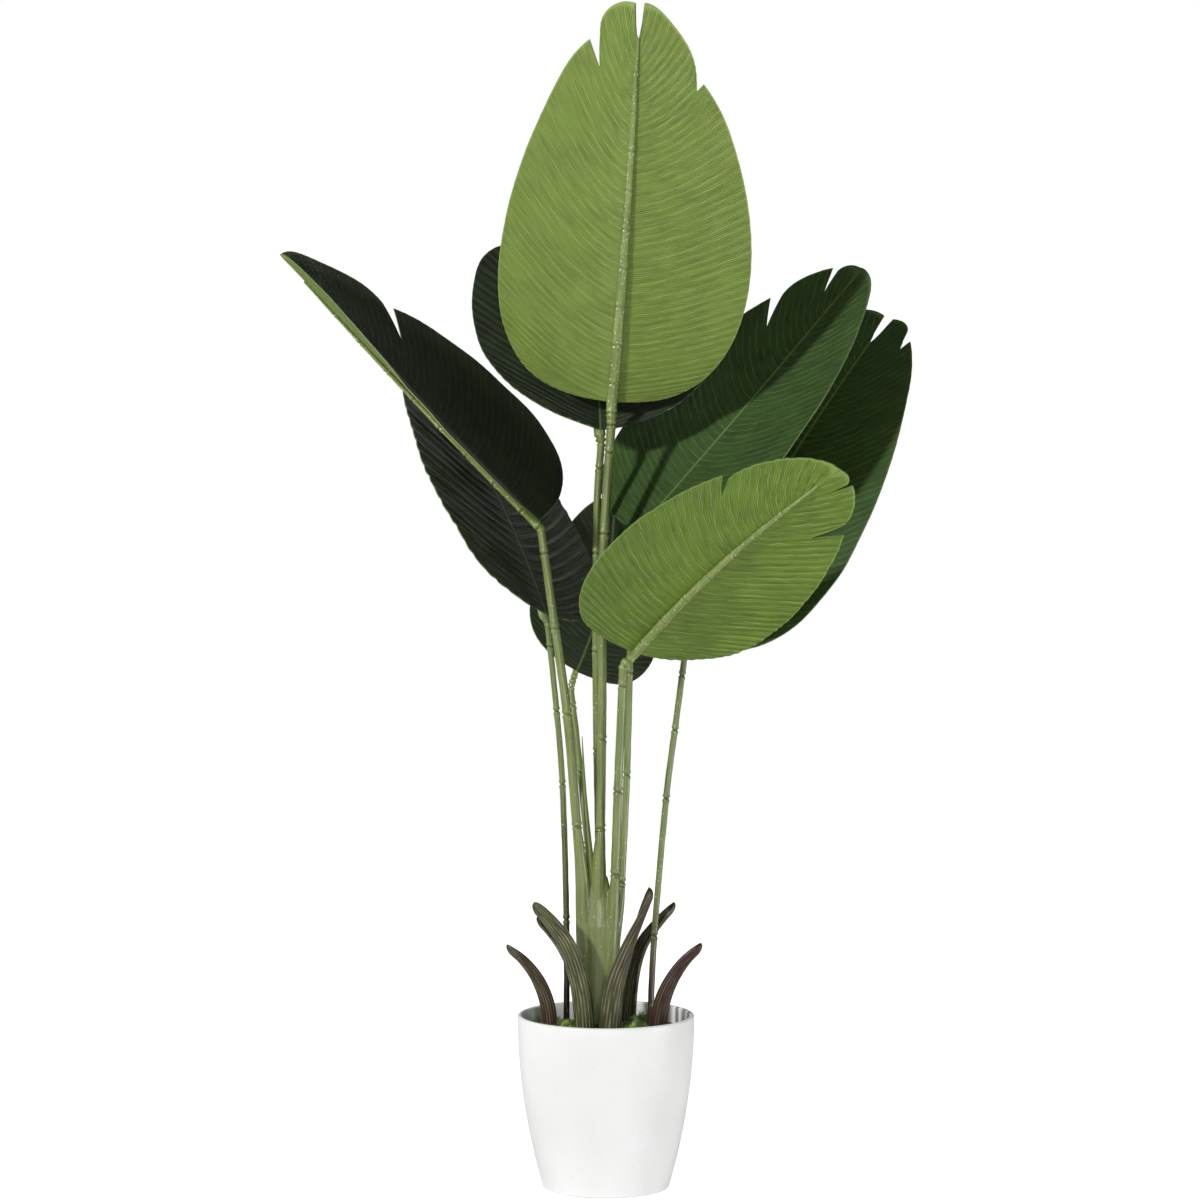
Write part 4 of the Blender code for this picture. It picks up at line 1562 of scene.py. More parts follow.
@dataclass(frozen=True)
class LeafPlan:
    """A blade laid along a midrib from base to tip.

    facing: azimuth from the front and elevation of the upper face, in degrees.
    folds: how steeply the left and right halves rise from the midrib, in degrees.
    curls: how much steeper they are at the margin, in degrees.
    arch, sway: how far the midrib bows towards the upper face and to the right.
    twist: how far the blade turns about its midrib from base to tip, in degrees.
    tip_gap: how far apart the two halves stand where the tip is split.
    pleat: the height of the pressed veins.
    ripple: how far the margin waves up and down.
    scallop: how far the margin's outline waves in and out, as a share of the width.
    pitch: from one pressed vein to the next along the margin.
    sweeps: how far tipwards the veins of the left and right halves run.
    points: how pointed the left and right halves are at the tip.
    egg, shoulder: how much wider the blade is near its base, and how full it is there.
    vein_bow: how much a vein bends tipwards as it nears the margin.
    midrib_end: the share of the length at which the midrib ends.
    notch_spread, notch_round: how far from a tear a lobe is changed, and how round it is.
    """

    base: Point
    tip: Point
    facing: Pair
    width: float
    folds: Pair
    curls: Pair
    arch: float = 0.0
    sway: float = 0.0
    twist: float = 0.0
    tip_gap: float = 0.0
    notches: tuple[Notch, ...] = ()
    pleat: float = 0.00055
    ripple: float = 0.0012
    scallop: float = 0.0015
    pitch: float = 0.0090
    sweeps: Pair = (0.13, 0.13)
    points: Pair = (0.92, 0.92)
    egg: float = 0.36
    shoulder: float = 0.70
    vein_bow: float = 1.6
    midrib_end: float = 0.90
    notch_spread: float = 0.09
    notch_round: float = 0.08
    tip_round_start: float = 0.88
    tip_round: float = 0.12
    tip_split_power: int = 12

    def length(self) -> float:
        """The straight distance from base to tip."""
        return (Vector(self.tip) - Vector(self.base)).length

    def section(self, along: float) -> tuple[Vector, Vector, Vector]:
        """Finds the midrib at a share of its length.

        Args:
            along: from 0 at the base to 1 at the tip.

        Returns:
            The point, and the directions to the right and out of the upper face.
        """
        base, tip = Vector(self.base), Vector(self.tip)
        ahead = (tip - base).normalized()
        right = ahead.cross(direction(*self.facing)).normalized()
        upper = right.cross(ahead)
        bow = 4 * along * (1 - along)
        point = base.lerp(tip, along) + upper * self.arch * bow + right * self.sway * bow
        turn = Matrix.Rotation(-math.radians(self.twist) * (along - 0.5), 3, ahead)
        return point, turn @ right, turn @ upper

    def place(self, side: Side, across: float, along: float, lift: float) -> Vector:
        """Finds a point of the blade.

        Args:
            side: the half that it is in.
            across: the distance from the midrib.
            along: the share along the midrib.
            lift: the height over the blade's middle surface.

        Returns:
            The point.
        """
        point, right, upper = self.section(along)
        fold, curl = self.folds[side.half], self.curls[side.half]
        angle = math.radians(fold + curl * across / self.width)
        outwards = across * math.cos(angle) - lift * math.sin(angle)
        upwards = across * math.sin(angle) + lift * math.cos(angle)
        return point + right * side.value * outwards + upper * upwards

    def outline(self, side: Side, vein: float) -> Pair:
        """Finds the margin at the end of a vein.

        Args:
            side: the half that the vein is in.
            vein: from 0 at the blade's base to 1 at its tip.

        Returns:
            The margin's distance from the midrib and the share along it.
        """
        turn = math.pi * min(1.0, vein)
        power = self.shoulder + (self.points[side.half] - self.shoulder) * vein
        swell = max(0.0, math.sin(turn)) ** power
        return self.width / 2 * swell * (1 + self.egg * math.cos(turn)), (1 - math.cos(turn)) / 2

    def on_vein(self, side: Side, vein: float, out: float, tipward: bool) -> Pair:
        """Finds the place of a point on a vein.

        Args:
            side: the half that the vein is in.
            vein: from 0 at the blade's base to 1 at its tip.
            out: the share out along the vein.
            tipward: which lobe it belongs to, if it lies on the edge of a tear.

        Returns:
            The distance from the midrib and the share along it.
        """
        for notch in self.notches:
            if notch.side is not side:
                continue
            past = vein - notch.at
            reach = max(0.0, (out - notch.start) / (1 - notch.start))
            nearness = max(0.0, 1 - abs(past) / self.notch_spread) ** 2
            on_edge = abs(past) < MERGE_DISTANCE
            if tipward if on_edge else past > 0:
                vein += notch.gap * reach * nearness
                out *= 1 - self.notch_round * reach * nearness
            else:
                out *= 1 - notch.blunt * reach * nearness
        if self.tip_gap and vein > self.tip_round_start:
            share = (vein - self.tip_round_start) / (1 - self.tip_round_start)
            out *= 1 - self.tip_round * share ** 2
        margin_across, margin_along = self.outline(side, vein)
        sweep = self.sweeps[side.half] * math.sin(math.pi * min(1.0, vein))
        root_along = max(0.0, margin_along * self.midrib_end - sweep)
        across = max(margin_across, self.tip_gap / 2 * vein ** self.tip_split_power) * out
        return across, root_along + (margin_along - root_along) * out ** self.vein_bow


LEAVES = {
    "crown": LeafPlan(
        base=(0.006, -0.010, 0.793), tip=(0.033, -0.109, 1.184), facing=(171, 9), width=0.238,
        folds=(13, 14), curls=(-10, -15), arch=0.002, sway=-0.002, twist=10, tip_gap=0.014,
        notches=(
            Notch(Side.RIGHT, 0.795, 0.72, 0.040, 0.05), Notch(Side.LEFT, 0.715, 0.86, 0.022, 0.05),
        ),
        pleat=0.00075, sweeps=(0.07, 0.19), points=(1.30, 0.92),
    ),
    "back": LeafPlan(
        base=(-0.006, 0.015, 0.765), tip=(-0.005, 0.281, 1.087), facing=(2, 25), width=0.258,
        folds=(22, 22), curls=(-10, 7), arch=-0.017, sway=-0.002, twist=10,
        notches=(Notch(Side.LEFT, 0.56, 0.66, 0.050, 0.12),), pleat=0.0011, pitch=0.0120,
        notch_round=0.24, points=(1.20, 0.92),
    ),
    "left_high": LeafPlan(
        base=(-0.068, 0.000, 0.673), tip=(-0.327, 0.019, 0.941), facing=(35, 81), width=0.222,
        folds=(19.5, 20), curls=(-9, 7), arch=-0.002, sway=-0.001, twist=-7,
        notches=(Notch(Side.RIGHT, 0.645, 0.61, 0.026, 0.06),), pleat=0.00022,
    ),
    "left_low": LeafPlan(
        base=(-0.061, 0.020, 0.580), tip=(-0.204, 0.211, 0.848), facing=(149, 74), width=0.228,
        folds=(1, 1), curls=(-8, 11), arch=0.009, sway=0.005, twist=5,
        notches=(Notch(Side.RIGHT, 0.70, 0.70, 0.030),), pleat=0.0019, ripple=0.0020, pitch=0.0170,
    ),
    "low_back": LeafPlan(
        base=(-0.030, 0.095, 0.516), tip=(0.009, 0.255, 0.686), facing=(27, 14), width=0.141,
        folds=(4, 4), curls=(-14, -10), arch=0.003, sway=0.009,
    ),
    "right_mid": LeafPlan(
        base=(0.031, 0.010, 0.662), tip=(0.262, 0.080, 0.929), facing=(0, 63), width=0.205,
        folds=(7, 10), curls=(-6, 5), arch=-0.001, sway=0.001, twist=-4,
        notches=(Notch(Side.LEFT, 0.700, 0.67, 0.030), Notch(Side.LEFT, 0.875, 0.59, 0.025)),
        pleat=0.00022,
    ),
    "far_right": LeafPlan(
        base=(0.083, 0.030, 0.552), tip=(0.300, 0.174, 0.885), facing=(-5, 46), width=0.244,
        folds=(10, 14), curls=(0, 3), arch=0.016, sway=-0.002, twist=2, tip_gap=0.014,
        notches=(Notch(Side.RIGHT, 0.835, 0.85, 0.035),), pleat=0.00030,
    ),
    "front_right": LeafPlan(
        base=(0.028, -0.020, 0.543), tip=(0.222, -0.216, 0.730), facing=(187, 35), width=0.200,
        folds=(7, 8), curls=(-14, -15), arch=0.002, sway=0.009, twist=21,
        notches=(
            Notch(Side.RIGHT, 0.668, 0.73, 0.015), Notch(Side.LEFT, 0.705, 0.68, 0.030),
            Notch(Side.LEFT, 0.895, 0.56, 0.015),
        ),
        pleat=0.0016, ripple=0.0016, scallop=0.007, pitch=0.0105,
    ),
}


def underside(name: str, ground: str, deep: str, vein: str, rib: str, margin: str) -> PressedLeaf:
    """A pale underside, whose hairlines show more than its veins and its midrib line."""
    return PressedLeaf(
        f"polyester cloth, pressed and coated, {name}", 0.52, 1.42, ground, deep, vein, rib, margin,
        hair_strength=0.55, vein_strength=0.50, rib_strength=0.3,
    )


UNDERSIDE = underside("underside", "#637926", "#576B20", "#91A35C", "#71873A", "#8A9E52")
# A darker copy of the underside, for front_right, which stands partly in shade: painted shade.
UNDERSIDES = {
    "front_right": underside(
        "shaded underside", "#577216", "#486010", "#839853", "#677D32", "#7F9548"
    ),
}
UPPER = PressedLeaf("polyester cloth, pressed and coated, upper face", 0.54, 1.40)
# A darker, greyer copy of the upper face, for the four leaves on the left and at the back, whose upper
# faces stand in shade: painted shade.
SHADED_UPPER = PressedLeaf(
    "polyester cloth, pressed and coated, shaded upper face", 0.62, 1.36,
    ground="#27301D", deep="#1D2417", vein="#455239", rib="#566B3A", margin="#48573A",
)
UPPERS = {name: SHADED_UPPER for name in ("back", "left_high", "left_low", "low_back")}
CUT_EDGE = PressedLeaf(
    "polyester cloth, cut edge", 0.50, 1.48,
    ground="#5F7040", deep="#4E5E33", vein="#6B7C4A", rib="#6B7C4A", margin="#6B7C4A",
)


@dataclass(frozen=True)
class Unevenness:
    """A random change over a blade.

    along, out: how often it changes in a metre of the margin, and from the midrib out.
    layer: what sets it apart from the other ones.
    """

    along: float
    out: float
    layer: float

    def at(self, arc: float, out: float, shift: float) -> float:
        """Its value from -1 to 1, for a place along the margin and a share out."""
        return noise.noise(Vector((arc * self.along, out * self.out, shift + self.layer)))


@dataclass(frozen=True)
class Tear:
    """A notch on the blade's grid: its column, and the row where it begins."""

    notch: Notch
    column: int
    apex: int


@dataclass
class LeafBlade:
    """A pressed cloth blade: pleated along its veins, waved at its margin.

    limits: the box that it is kept inside.
    columns, rows: how many faces each half has along its margin and along its veins.
    drift, drifting: how far the pressed veins stray from an even pitch, and how often.
    pleat_share, pleat_change, pleating: the pleats' usual height as a share of the
        plan's, how much it changes, and how often.
    swelling: how often the cloth rises and falls, the more so the further out.
    wave: how high the margin's waves are, in ripples of the plan.
    pleat_start: the share out along a vein at which its pleat has its full height.
    margin_flat: how near the margin a pleat grows lower, down to margin_share.
    """

    name: str
    plan: LeafPlan
    limits: Box
    upper: PressedLeaf = UPPER
    under: PressedLeaf = UNDERSIDE
    edge: PressedLeaf = CUT_EDGE
    columns: int = 360
    rows: int = 15
    thickness: float = 0.0011
    margin_samples: int = 1500
    drift: float = 0.0030
    drifting: Unevenness = Unevenness(45, 2.0, 9)
    pleat_share: float = 0.75
    pleat_change: float = 0.9
    pleating: Unevenness = Unevenness(60, 3.0, 2)
    swelling: Unevenness = Unevenness(7, 2.5, 4)
    wave: float = 1.6
    pleat_start: float = 0.22
    margin_flat: float = 0.012
    margin_share: float = 0.55

    def margin_table(self, side: Side) -> tuple[np.ndarray, np.ndarray]:
        """Measures the margin of one half.

        Args:
            side: the half.

        Returns:
            Veins from 0 to 1, and how far along the margin each one ends, in metres.
        """
        veins = np.linspace(0.0, 1.0, self.margin_samples)
        points = np.array([self.plan.outline(side, float(vein)) for vein in veins])
        steps = np.diff(points, axis=0) * (1.0, self.plan.length())
        return veins, np.concatenate([[0.0], np.cumsum(np.hypot(steps[:, 0], steps[:, 1]))])

    def lift(self, side: Side, arc: float, out: float, edge: float) -> float:
        """Finds how far the pressing raises the cloth.

        Args:
            side: the half of the blade.
            arc: how far along the margin the vein ends.
            out: the share out along the vein.
            edge: the distance from the margin.

        Returns:
            The height over the middle surface.
        """
        shift = 7.3 * side.value + len(self.name)
        plan = self.plan
        drift = self.drift * self.drifting.at(arc, out, shift)
        ridge = (0.5 + 0.5 * math.cos(2 * math.pi * (arc + drift) / plan.pitch)) ** 2 - MEAN_RIDGE
        ridge *= self.pleat_share + self.pleat_change * self.pleating.at(arc, out, shift)
        inland = min(1.0, edge / self.margin_flat)
        grow = min(1.0, out / self.pleat_start)
        grow *= between((self.margin_share, 1.0), inland)
        wave = self.wave * noise.noise(Vector((arc * 22, shift, out * 1.2))) * out ** 3
        swell = self.swelling.at(arc, out, shift) * out
        return plan.pleat * ridge * grow + plan.ripple * (wave + swell)

    def fit_tears(self, side: Side, stops: np.ndarray) -> list[Tear]:
        """Finds the column of the grid that each tear runs along.

        Args:
            side: the half of the blade.
            stops: the vein of each column, which is moved onto the tear.

        Returns:
            The tears of that half.
        """
        tears = []
        for notch in self.plan.notches:
            if notch.side is side:
                column = int(np.argmin(np.abs(stops - notch.at)))
                stops[column] = notch.at
                tears.append(Tear(notch, column, round(notch.start * self.rows)))
        return tears

    def split(self, bm: BMesh, verts: dict[BMVert, tuple[int, int]], tear: Tear) -> None:
        """Parts the grid along a tear.

        Args:
            bm: the blade's mesh.
            verts: the column and row of each point, which the new points are added to.
            tear: the tear.
        """
        torn = {
            vert for vert, (column, row) in verts.items()
            if column == tear.column and row >= tear.apex
        }
        edges = [edge for edge in bm.edges if all(vert in torn for vert in edge.verts)]
        for edge in bmesh.ops.split_edges(bm, edges=edges)["edges"]:
            for vert in edge.verts:
                verts.setdefault(vert, (tear.column, round((vert.co.y + 0.5) * self.rows)))

    def add_half(self, bm: BMesh, side: Side) -> None:
        """Adds one half: a grid whose columns are veins, split at each tear.

        Args:
            bm: the blade's mesh.
            side: the half.
        """
        veins, arcs = self.margin_table(side)
        stops = np.interp(np.linspace(0.0, arcs[-1], self.columns + 1), arcs, veins)
        verts = grid(bm, self.columns, self.rows)
        tears = self.fit_tears(side, stops)
        for tear in tears:
            self.split(bm, verts, tear)
        tipward = {
            vert: sum(face.calc_center_median().x - vert.co.x for face in vert.link_faces) > 0
            for vert in verts
        }
        printed, reach = {}, {}
        for vert, (column, row) in verts.items():
            vein, out = float(stops[column]), self.row_share(row, column, tears)
            arc = float(np.interp(vein, veins, arcs))
            drawn_in = self.scalloped(side, out, arc)
            across, along = self.plan.on_vein(side, vein, drawn_in, tipward[vert])
            edge = max(0.0, self.plan.outline(side, vein)[0] * (1 - out))
            printed[vert] = (arc * self.upper.vein_pitch / self.plan.pitch, out)
            reach[vert] = (across, edge)
            vert.co = self.plan.place(side, across, along, self.lift(side, arc, out, edge))
        write_uv(bm, "veins", printed)
        write_uv(bm, "reach", reach)

    def row_share(self, row: int, column: int, tears: Sequence[Tear]) -> float:
        """Finds how far out a point of the grid is.

        Args:
            row: its row.
            column: its column.
            tears: the half's tears, each of which has a row where it begins.

        Returns:
            The share out along its vein.
        """
        for tear in tears:
            if tear.column == column and row >= tear.apex:
                start = tear.notch.start
                return start + (1 - start) * (row - tear.apex) / (self.rows - tear.apex)
        return row / self.rows

    def scalloped(self, side: Side, out: float, arc: float) -> float:
        """Draws the outline in a little between the veins' ends.

        Args:
            side: the half of the blade.
            out: the share out along a vein.
            arc: how far along the margin the vein ends.

        Returns:
            The share out, drawn in.
        """
        shift = 3.1 * side.value + len(self.name)
        bite = 0.5 + 0.5 * math.cos(math.pi * arc / self.plan.pitch + shift)
        chance = max(0.0, 0.5 + noise.noise(Vector((arc * 30, shift, 0.5))))
        return out * (1 - self.plan.scallop * bite * chance * out ** 4)

    def build(self) -> None:
        """Joins the two halves along the midrib line and gives the cloth its thickness."""
        bm = bmesh.new()
        for side in Side:
            self.add_half(bm, side)
        close_seams(bm)
        bm.normal_update()
        upper = self.plan.section(0.5)[2]
        turned_over = [face for face in bm.faces if face.normal.dot(upper) < 0]
        bmesh.ops.reverse_faces(bm, faces=turned_over)
        finishes = [self.upper, self.under, self.edge]
        blade = mesh_object(f"blade_{self.name}_cloth", bm, finishes, sharp=180)
        modify(
            blade, "SOLIDIFY", sharp=55, thickness=self.thickness, offset=0.0,
            material_offset=1, material_offset_rim=2,
        )
        low, high = self.limits
        for vert in blade.data.vertices:
            vert.co = [min(max(at, least), most) for at, least, most in zip(vert.co, low, high)]
        dress(blade, "leaf_green", "blade_" + self.name)


@dataclass
class Midrib:
    """The moulded midrib under a blade, with the knobbly neck at its stem's top.

    base_to_length: its radius at the blade's base, as a share of the blade's length.
    sunk: how far under the blade's middle surface its top is.
    first_ring, neck_ring: the rings of the neck, as a length and as a share of the neck.
    ring_spacing, ring_margin: from ring to ring under the blade, and from its two ends.
    """

    name: str
    leaf: LeafPlan
    stem: StemPlan
    base_to_length: float = 0.0145
    tip_radius: float = 0.0014
    taper_power: float = 1.4
    flatness: float = 0.62
    sunk: float = 0.0004
    samples: int = 30
    first_ring: float = 0.004
    neck_ring: float = 0.62
    ring_spacing: float = 0.039
    ring_margin: float = 0.02
    ring_height: float = 0.0009
    flutes: int = 7
    flute_depth: float = 0.0004
    lumps: float = 0.00018
    straight_end: float = 0.004
    # Nearly every place has a bead, painted near-white: painted highlights along the midrib.
    finish: Finish = SprayedStem(
        "polyethylene, moulded and sprayed, midrib", 0.36, 1.51,
        green="#72823E", pale="#8D9B5C", deep="#56642E", beads_and_glints=0.96, bead_size=0.0014,
    )

    def build(self) -> None:
        """Builds the rod from the stem's top to its end near the leaf's tip."""
        joint, down = self.stem.top()
        centres = [joint, joint - down * self.straight_end]
        radii = [self.stem.top_radius, self.stem.top_radius]
        base_radius = self.base_to_length * self.leaf.length()
        for share in np.linspace(0.0, 1.0, self.samples + 1).tolist():
            radius = between((base_radius, self.tip_radius), share ** self.taper_power)
            point, _, upper = self.leaf.section(self.leaf.midrib_end * share)
            centres.append(point - upper * (radius * self.flatness + self.sunk))
            radii.append(radius)
        neck = (centres[2] - centres[0]).length
        rod = Rod(
            centres, radii, flutes=self.flutes, flute_depth=self.flute_depth, lumps=self.lumps,
            round_end=True, ring_rise=self.ring_height, ring_cut=self.ring_height,
            facing=-self.leaf.section(0.0)[2], flatness=self.flatness,
            flat_from=neck - FLATTENING_LENGTH / 2,
        )
        end = rod.stations()[-1][2]
        under_blade = np.arange(neck + self.ring_margin, end - self.ring_margin, self.ring_spacing)
        rod.ring_at = [self.first_ring, neck * self.neck_ring, *under_blade]
        rib = rod.build(f"midrib_{self.name}_moulding", self.finish)
        dress(rib, "rib_green", "midrib_" + self.name)


# ---------------------------------------------------------------- basal leaves


@dataclass(frozen=True)
class StrapPlan:
    """A basal leaf, which opens as a channel.

    route: the points that it passes through, from the fill to its tip.
    foot_opening, tip_opening: the direction that the channel opens in at its two ends.
    redness: how red-brown it is, from 0 to 1, at its foot and at its tip.
    """

    route: tuple[Point, ...]
    width: float
    foot_opening: Point
    tip_opening: Point
    redness: Pair


STRAPS = {
    "front_left": StrapPlan(
        ((-0.0200, -0.031, 0.158), (-0.024, -0.032, 0.205), (-0.037, -0.035, 0.249),
         (-0.053, -0.040, 0.274), (-0.0715, -0.045, 0.2945)),
        0.0205, (0.35, 0.90, 0.10), (0.30, 0.75, 0.60), (0.05, 0.15),
    ),
    "front_right": StrapPlan(
        ((0.0025, -0.036, 0.158), (0.006, -0.036, 0.208), (0.017, -0.037, 0.249),
         (0.030, -0.039, 0.281), (0.043, -0.041, 0.309)),
        0.0225, (-0.40, 0.90, 0.10), (-0.95, -0.25, 0.30), (0.10, 0.75),
    ),
    "rear_left": StrapPlan(
        ((-0.022, 0.033, 0.158), (-0.028, 0.033, 0.208), (-0.039, 0.034, 0.235),
         (-0.054, 0.036, 0.255), (-0.0695, 0.038, 0.269)),
        0.018, (0.30, -0.90, 0.20), (0.40, -0.60, 0.70), (0.05, 0.10),
    ),
    "rear_right": StrapPlan(
        ((0.020, 0.033, 0.158), (0.0245, 0.032, 0.208), (0.034, 0.031, 0.241),
         (0.051, 0.032, 0.265), (0.0695, 0.034, 0.284)),
        0.018, (-0.50, -0.80, 0.20), (-0.75, -0.30, 0.60), (0.10, 0.55),
    ),
    "left": StrapPlan(
        ((-0.055, -0.010, 0.158), (-0.058, -0.010, 0.188), (-0.067, -0.012, 0.213),
         (-0.081, -0.016, 0.233), (-0.099, -0.020, 0.2485)),
        0.0165, (0.45, 0.85, 0.20), (0.45, 0.55, 0.70), (0.85, 0.55),
    ),
    "right": StrapPlan(
        ((0.051, -0.008, 0.158), (0.055, -0.008, 0.188), (0.064, -0.010, 0.212),
         (0.078, -0.013, 0.233), (0.0955, -0.016, 0.2495)),
        0.0185, (-0.45, 0.85, 0.20), (-0.45, 0.55, 0.70), (0.90, 1.0),
    ),
}


@dataclass
class BasalLeaf:
    """A short ribbed leaf that stands in the fill as a channel with a round tip.

    planted: how far it goes down into the fill.
    opening: how far each half of the channel turns from its middle, in radians.
    taper: how much narrower it gets towards its tip.
    tip_length, tip_power: how long its round tip is, and how blunt.
    ribs, rib_height, rib_power: how many ribs it has, how high and how narrow.
    rub_highlight_power: how narrow the pale line on top of a rib is, partly dust and partly painted
    highlight.
    rib_fade: how far from the tip the ribs run out.
    wander, wander_rate: how far the surface strays, and how often from step to step.
    """

    name: str
    plan: StrapPlan
    planted: float = 0.018
    samples: int = 22
    cross_steps: int = 36
    opening: float = math.radians(80)
    taper: float = 0.40
    tip_length: float = 0.011
    tip_power: float = 2.2
    thickness: float = 0.0013
    ribs: int = 9
    rib_height: float = 0.00045
    rib_power: float = 1.5
    rub_highlight_power: int = 6
    rib_fade: float = 0.008
    wander: float = 0.0002
    wander_rate: float = 0.05
    finish: Finish = EmbossedStrap("polyethylene, embossed and sprayed", 0.40, 1.40)

    def radius(self, share: float, left: float) -> float:
        """Finds the channel's radius.

        Args:
            share: how far it is from the fill, from 0 to 1 at the tip.
            left: how far it is from the tip, in metres.

        Returns:
            The radius.
        """
        radius = self.plan.width / 2 * (1 - self.taper * share ** 2)
        if left < self.tip_length:
            radius *= math.sqrt(max(0.0, 1 - (1 - left / self.tip_length) ** self.tip_power))
        return radius

    def build(self) -> None:
        """Rolls a grid into the channel, rounds its tip and raises its ribs."""
        plan = self.plan
        foot = Vector(plan.route[0]) - Vector((0, 0, self.planted))
        points = smooth_route((foot, *plan.route), self.samples)
        last = len(points) - 1
        lengths = lengths_along(points).tolist()
        bm = bmesh.new()
        verts = grid(bm, last, self.cross_steps)
        runs, marks = {}, {}
        for vert, (step, row) in verts.items():
            share = clamp((step - self.samples) / (last - self.samples))
            left = lengths[-1] - lengths[step]
            radius = self.radius(share, left)
            ahead = (points[min(step + 1, last)] - points[max(0, step - 1)]).normalized()
            out = Vector(plan.foot_opening).lerp(Vector(plan.tip_opening), share)
            out = (out - ahead * out.dot(ahead)).normalized()
            side = row / self.cross_steps
            turn = 2 * self.opening * (side - 0.5)
            ridge = (0.5 + 0.5 * math.cos(2 * math.pi * self.ribs * side)) ** self.rib_power
            fade = min(1.0, left / self.rib_fade)
            place = Vector((step * self.wander_rate, row, len(self.name)))
            stray = noise.noise(place) * self.wander
            bulge = (ridge * self.rib_height + stray) * fade * (radius / plan.width * 2)
            outwards = ahead.cross(out) * math.sin(turn) - out * math.cos(turn)
            vert.co = points[step] + outwards * (radius + bulge)
            runs[vert] = (lengths[step], (side - 0.5) * plan.width)
            # The first mark is the pale rib top, partly painted highlight; the second the red-brown.
            marks[vert] = (ridge ** self.rub_highlight_power * fade, between(plan.redness, share))
        write_uv(bm, "run", runs)
        write_uv(bm, "marks", marks)
        close_seams(bm)
        strap = mesh_object(f"basal_leaf_{self.name}_sheet", bm, [self.finish], sharp=180)
        modify(strap, "SOLIDIFY", sharp=60, thickness=self.thickness, offset=0.0)
        dress(strap, "basal_olive", "basal_leaf_" + self.name)


# ---------------------------------------------------------------- studio


@dataclass(frozen=True)
class Lamp:
    """A square studio lamp.

    azimuth, elevation: where it stands, in degrees from the front and over the floor.
    """

    name: str
    azimuth: float
    elevation: float
    distance: float
    size: float
    power: float
    target: Point = (0.0, 0.0, 0.60)

    def place(self) -> None:
        """Hangs the lamp so that it shines at its target."""
        light = bpy.data.lights.new(self.name, "AREA")
        light.energy = self.power
        light.size = self.size
        away = direction(self.azimuth, self.elevation)
        lamp = bpy.data.objects.new(self.name, light)
        lamp.location = Vector(self.target) + away * self.distance
        lamp.rotation_euler = (-away).to_track_quat("-Z", "Y").to_euler()
        bpy.context.scene.collection.objects.link(lamp)


# Background paper, matt. An even near-white with faint clouds, which glows for the
# camera alone, so that it is as pale as the background and lights nothing.
@dataclass(frozen=True)
class StudioPaper(Finish):
    """The plain pale paper of the floor."""

    paper: str = "#F7F7F6"
    shade: str = "#F4F4F3"
    cloud: float = 0.5
    glow: float = 0.90

    def paint(self, add: AddNode) -> Inputs:
        """Draws the paper's faint clouds and its glow.

        Args:
            add: adds a node to the material, as add_node does.

        Returns:
            The shader's inputs.
        """
        clouds = add("TexNoise", {"Scale": 1 / self.cloud})
        seen = add("LightPath", output="Is Camera Ray")
        return {
            "Base Color": add(
                "ValToRGB", {"Fac": clouds}, stops=((0.2, self.shade), (0.8, self.paper))
            ),
            "Emission Color": linear(self.paper),
            "Emission Strength": add("Math", {0: seen, 1: self.glow}, operation="MULTIPLY"),
        }


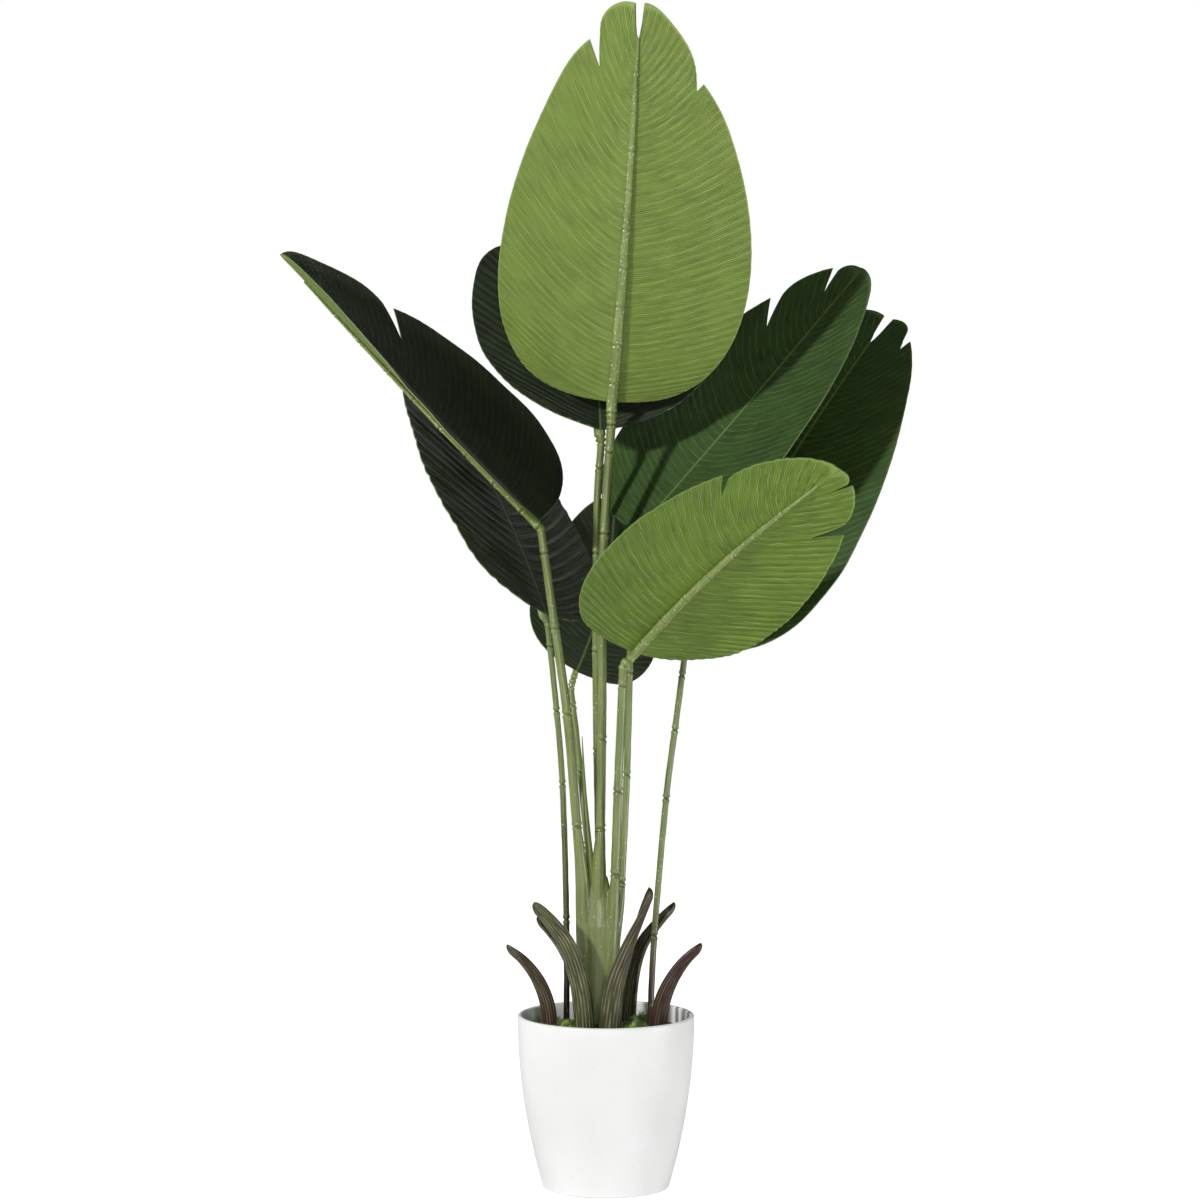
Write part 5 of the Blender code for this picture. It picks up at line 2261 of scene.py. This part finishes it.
@dataclass
class Studio:
    """The floor, the light and the camera.

    camera_tilt: how far the camera looks down, in degrees.
    ambient: how much the sky lights the plant; the camera sees it as white.
    """

    camera_place: Point = (-0.006, -3.74, 0.796)
    camera_tilt: float = 3.09
    lens: float = 111.8
    sensor_width: float = 36.0
    floor_radius: float = 3.0
    floor_gap: float = 0.0003
    ambient: float = 0.11
    lamps: tuple[Lamp, ...] = (
        Lamp("key", -43, 21, 3.6, 0.24, 100.0),
        Lamp("front_softbox", 4, 3, 3.4, 0.9, 26.0),
        Lamp("right_softbox", 76, 12, 3.4, 0.9, 9.0),
        Lamp("left_softbox", -118, 18, 3.4, 0.9, 24.0),
        Lamp("back_softbox", 165, 35, 3.6, 1.2, 14.0),
        Lamp("pot_softbox", 73, 3, 1.1, 0.4, 4.8, (0.0, 0.0, 0.10)),
    )
    paper: Finish = StudioPaper("background paper, matt", 0.85, 1.45)

    def build(self) -> None:
        """Sets up the floor, the lamps, the sky and the camera."""
        bm = bmesh.new()
        bmesh.ops.create_circle(
            bm, cap_ends=True, segments=96, radius=self.floor_radius,
            matrix=Matrix.Translation((0, 0, -self.floor_gap)),
        )
        mesh_object("studio_floor", bm, [self.paper], sharp=180)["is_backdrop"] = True
        for lamp in self.lamps:
            lamp.place()
        self.light_sky()
        camera = bpy.data.objects.new("camera", bpy.data.cameras.new("camera"))
        camera.data.lens = self.lens
        camera.data.sensor_width = self.sensor_width
        camera.location = self.camera_place
        camera.rotation_euler = (math.radians(90 - self.camera_tilt), 0, 0)
        bpy.context.scene.collection.objects.link(camera)
        bpy.context.scene.camera = camera
        bpy.context.scene.view_settings.view_transform = "Standard"
        log.info("studio: %d lamps", len(self.lamps))

    def light_sky(self) -> None:
        """Lights the plant softly from all round, in front of a white background."""
        world = bpy.data.worlds.new("studio_sky")
        world.use_nodes = True
        add = partial(add_node, world.node_tree)
        seen = add("LightPath", output="Is Camera Ray")
        strength = add("MapRange", {"Value": seen, "To Min": self.ambient, "To Max": 1.0})
        feed(world.node_tree.nodes["Background"], {"Color": (1, 1, 1, 1), "Strength": strength})
        bpy.context.scene.world = world


# ---------------------------------------------------------------- the plant


def build_plant(box: Box) -> None:
    """Builds every piece of the plant, from the pot up.

    Args:
        box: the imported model's box, which the blades are kept inside.
    """
    pot = Pot()
    pot.build()
    PlantingFill().build(pot)
    Moss().build()
    Trunk(COLUMNS, SHOOT).build()
    for name, plan in STEMS.items():
        Stem(name, plan).build()
    for name, plan in LEAVES.items():
        upper, under = UPPERS.get(name, UPPER), UNDERSIDES.get(name, UNDERSIDE)
        LeafBlade(name, plan, box, upper, under).build()
        Midrib(name, plan, STEMS[name]).build()
    for name, plan in STRAPS.items():
        BasalLeaf(name, plan).build()


def main() -> None:
    """Builds the scene."""
    logging.basicConfig(level=logging.INFO, format="%(message)s")
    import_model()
    solid_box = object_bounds()
    Studio().build()
    build_plant(solid_box)


if __name__ == "__main__":
    main()
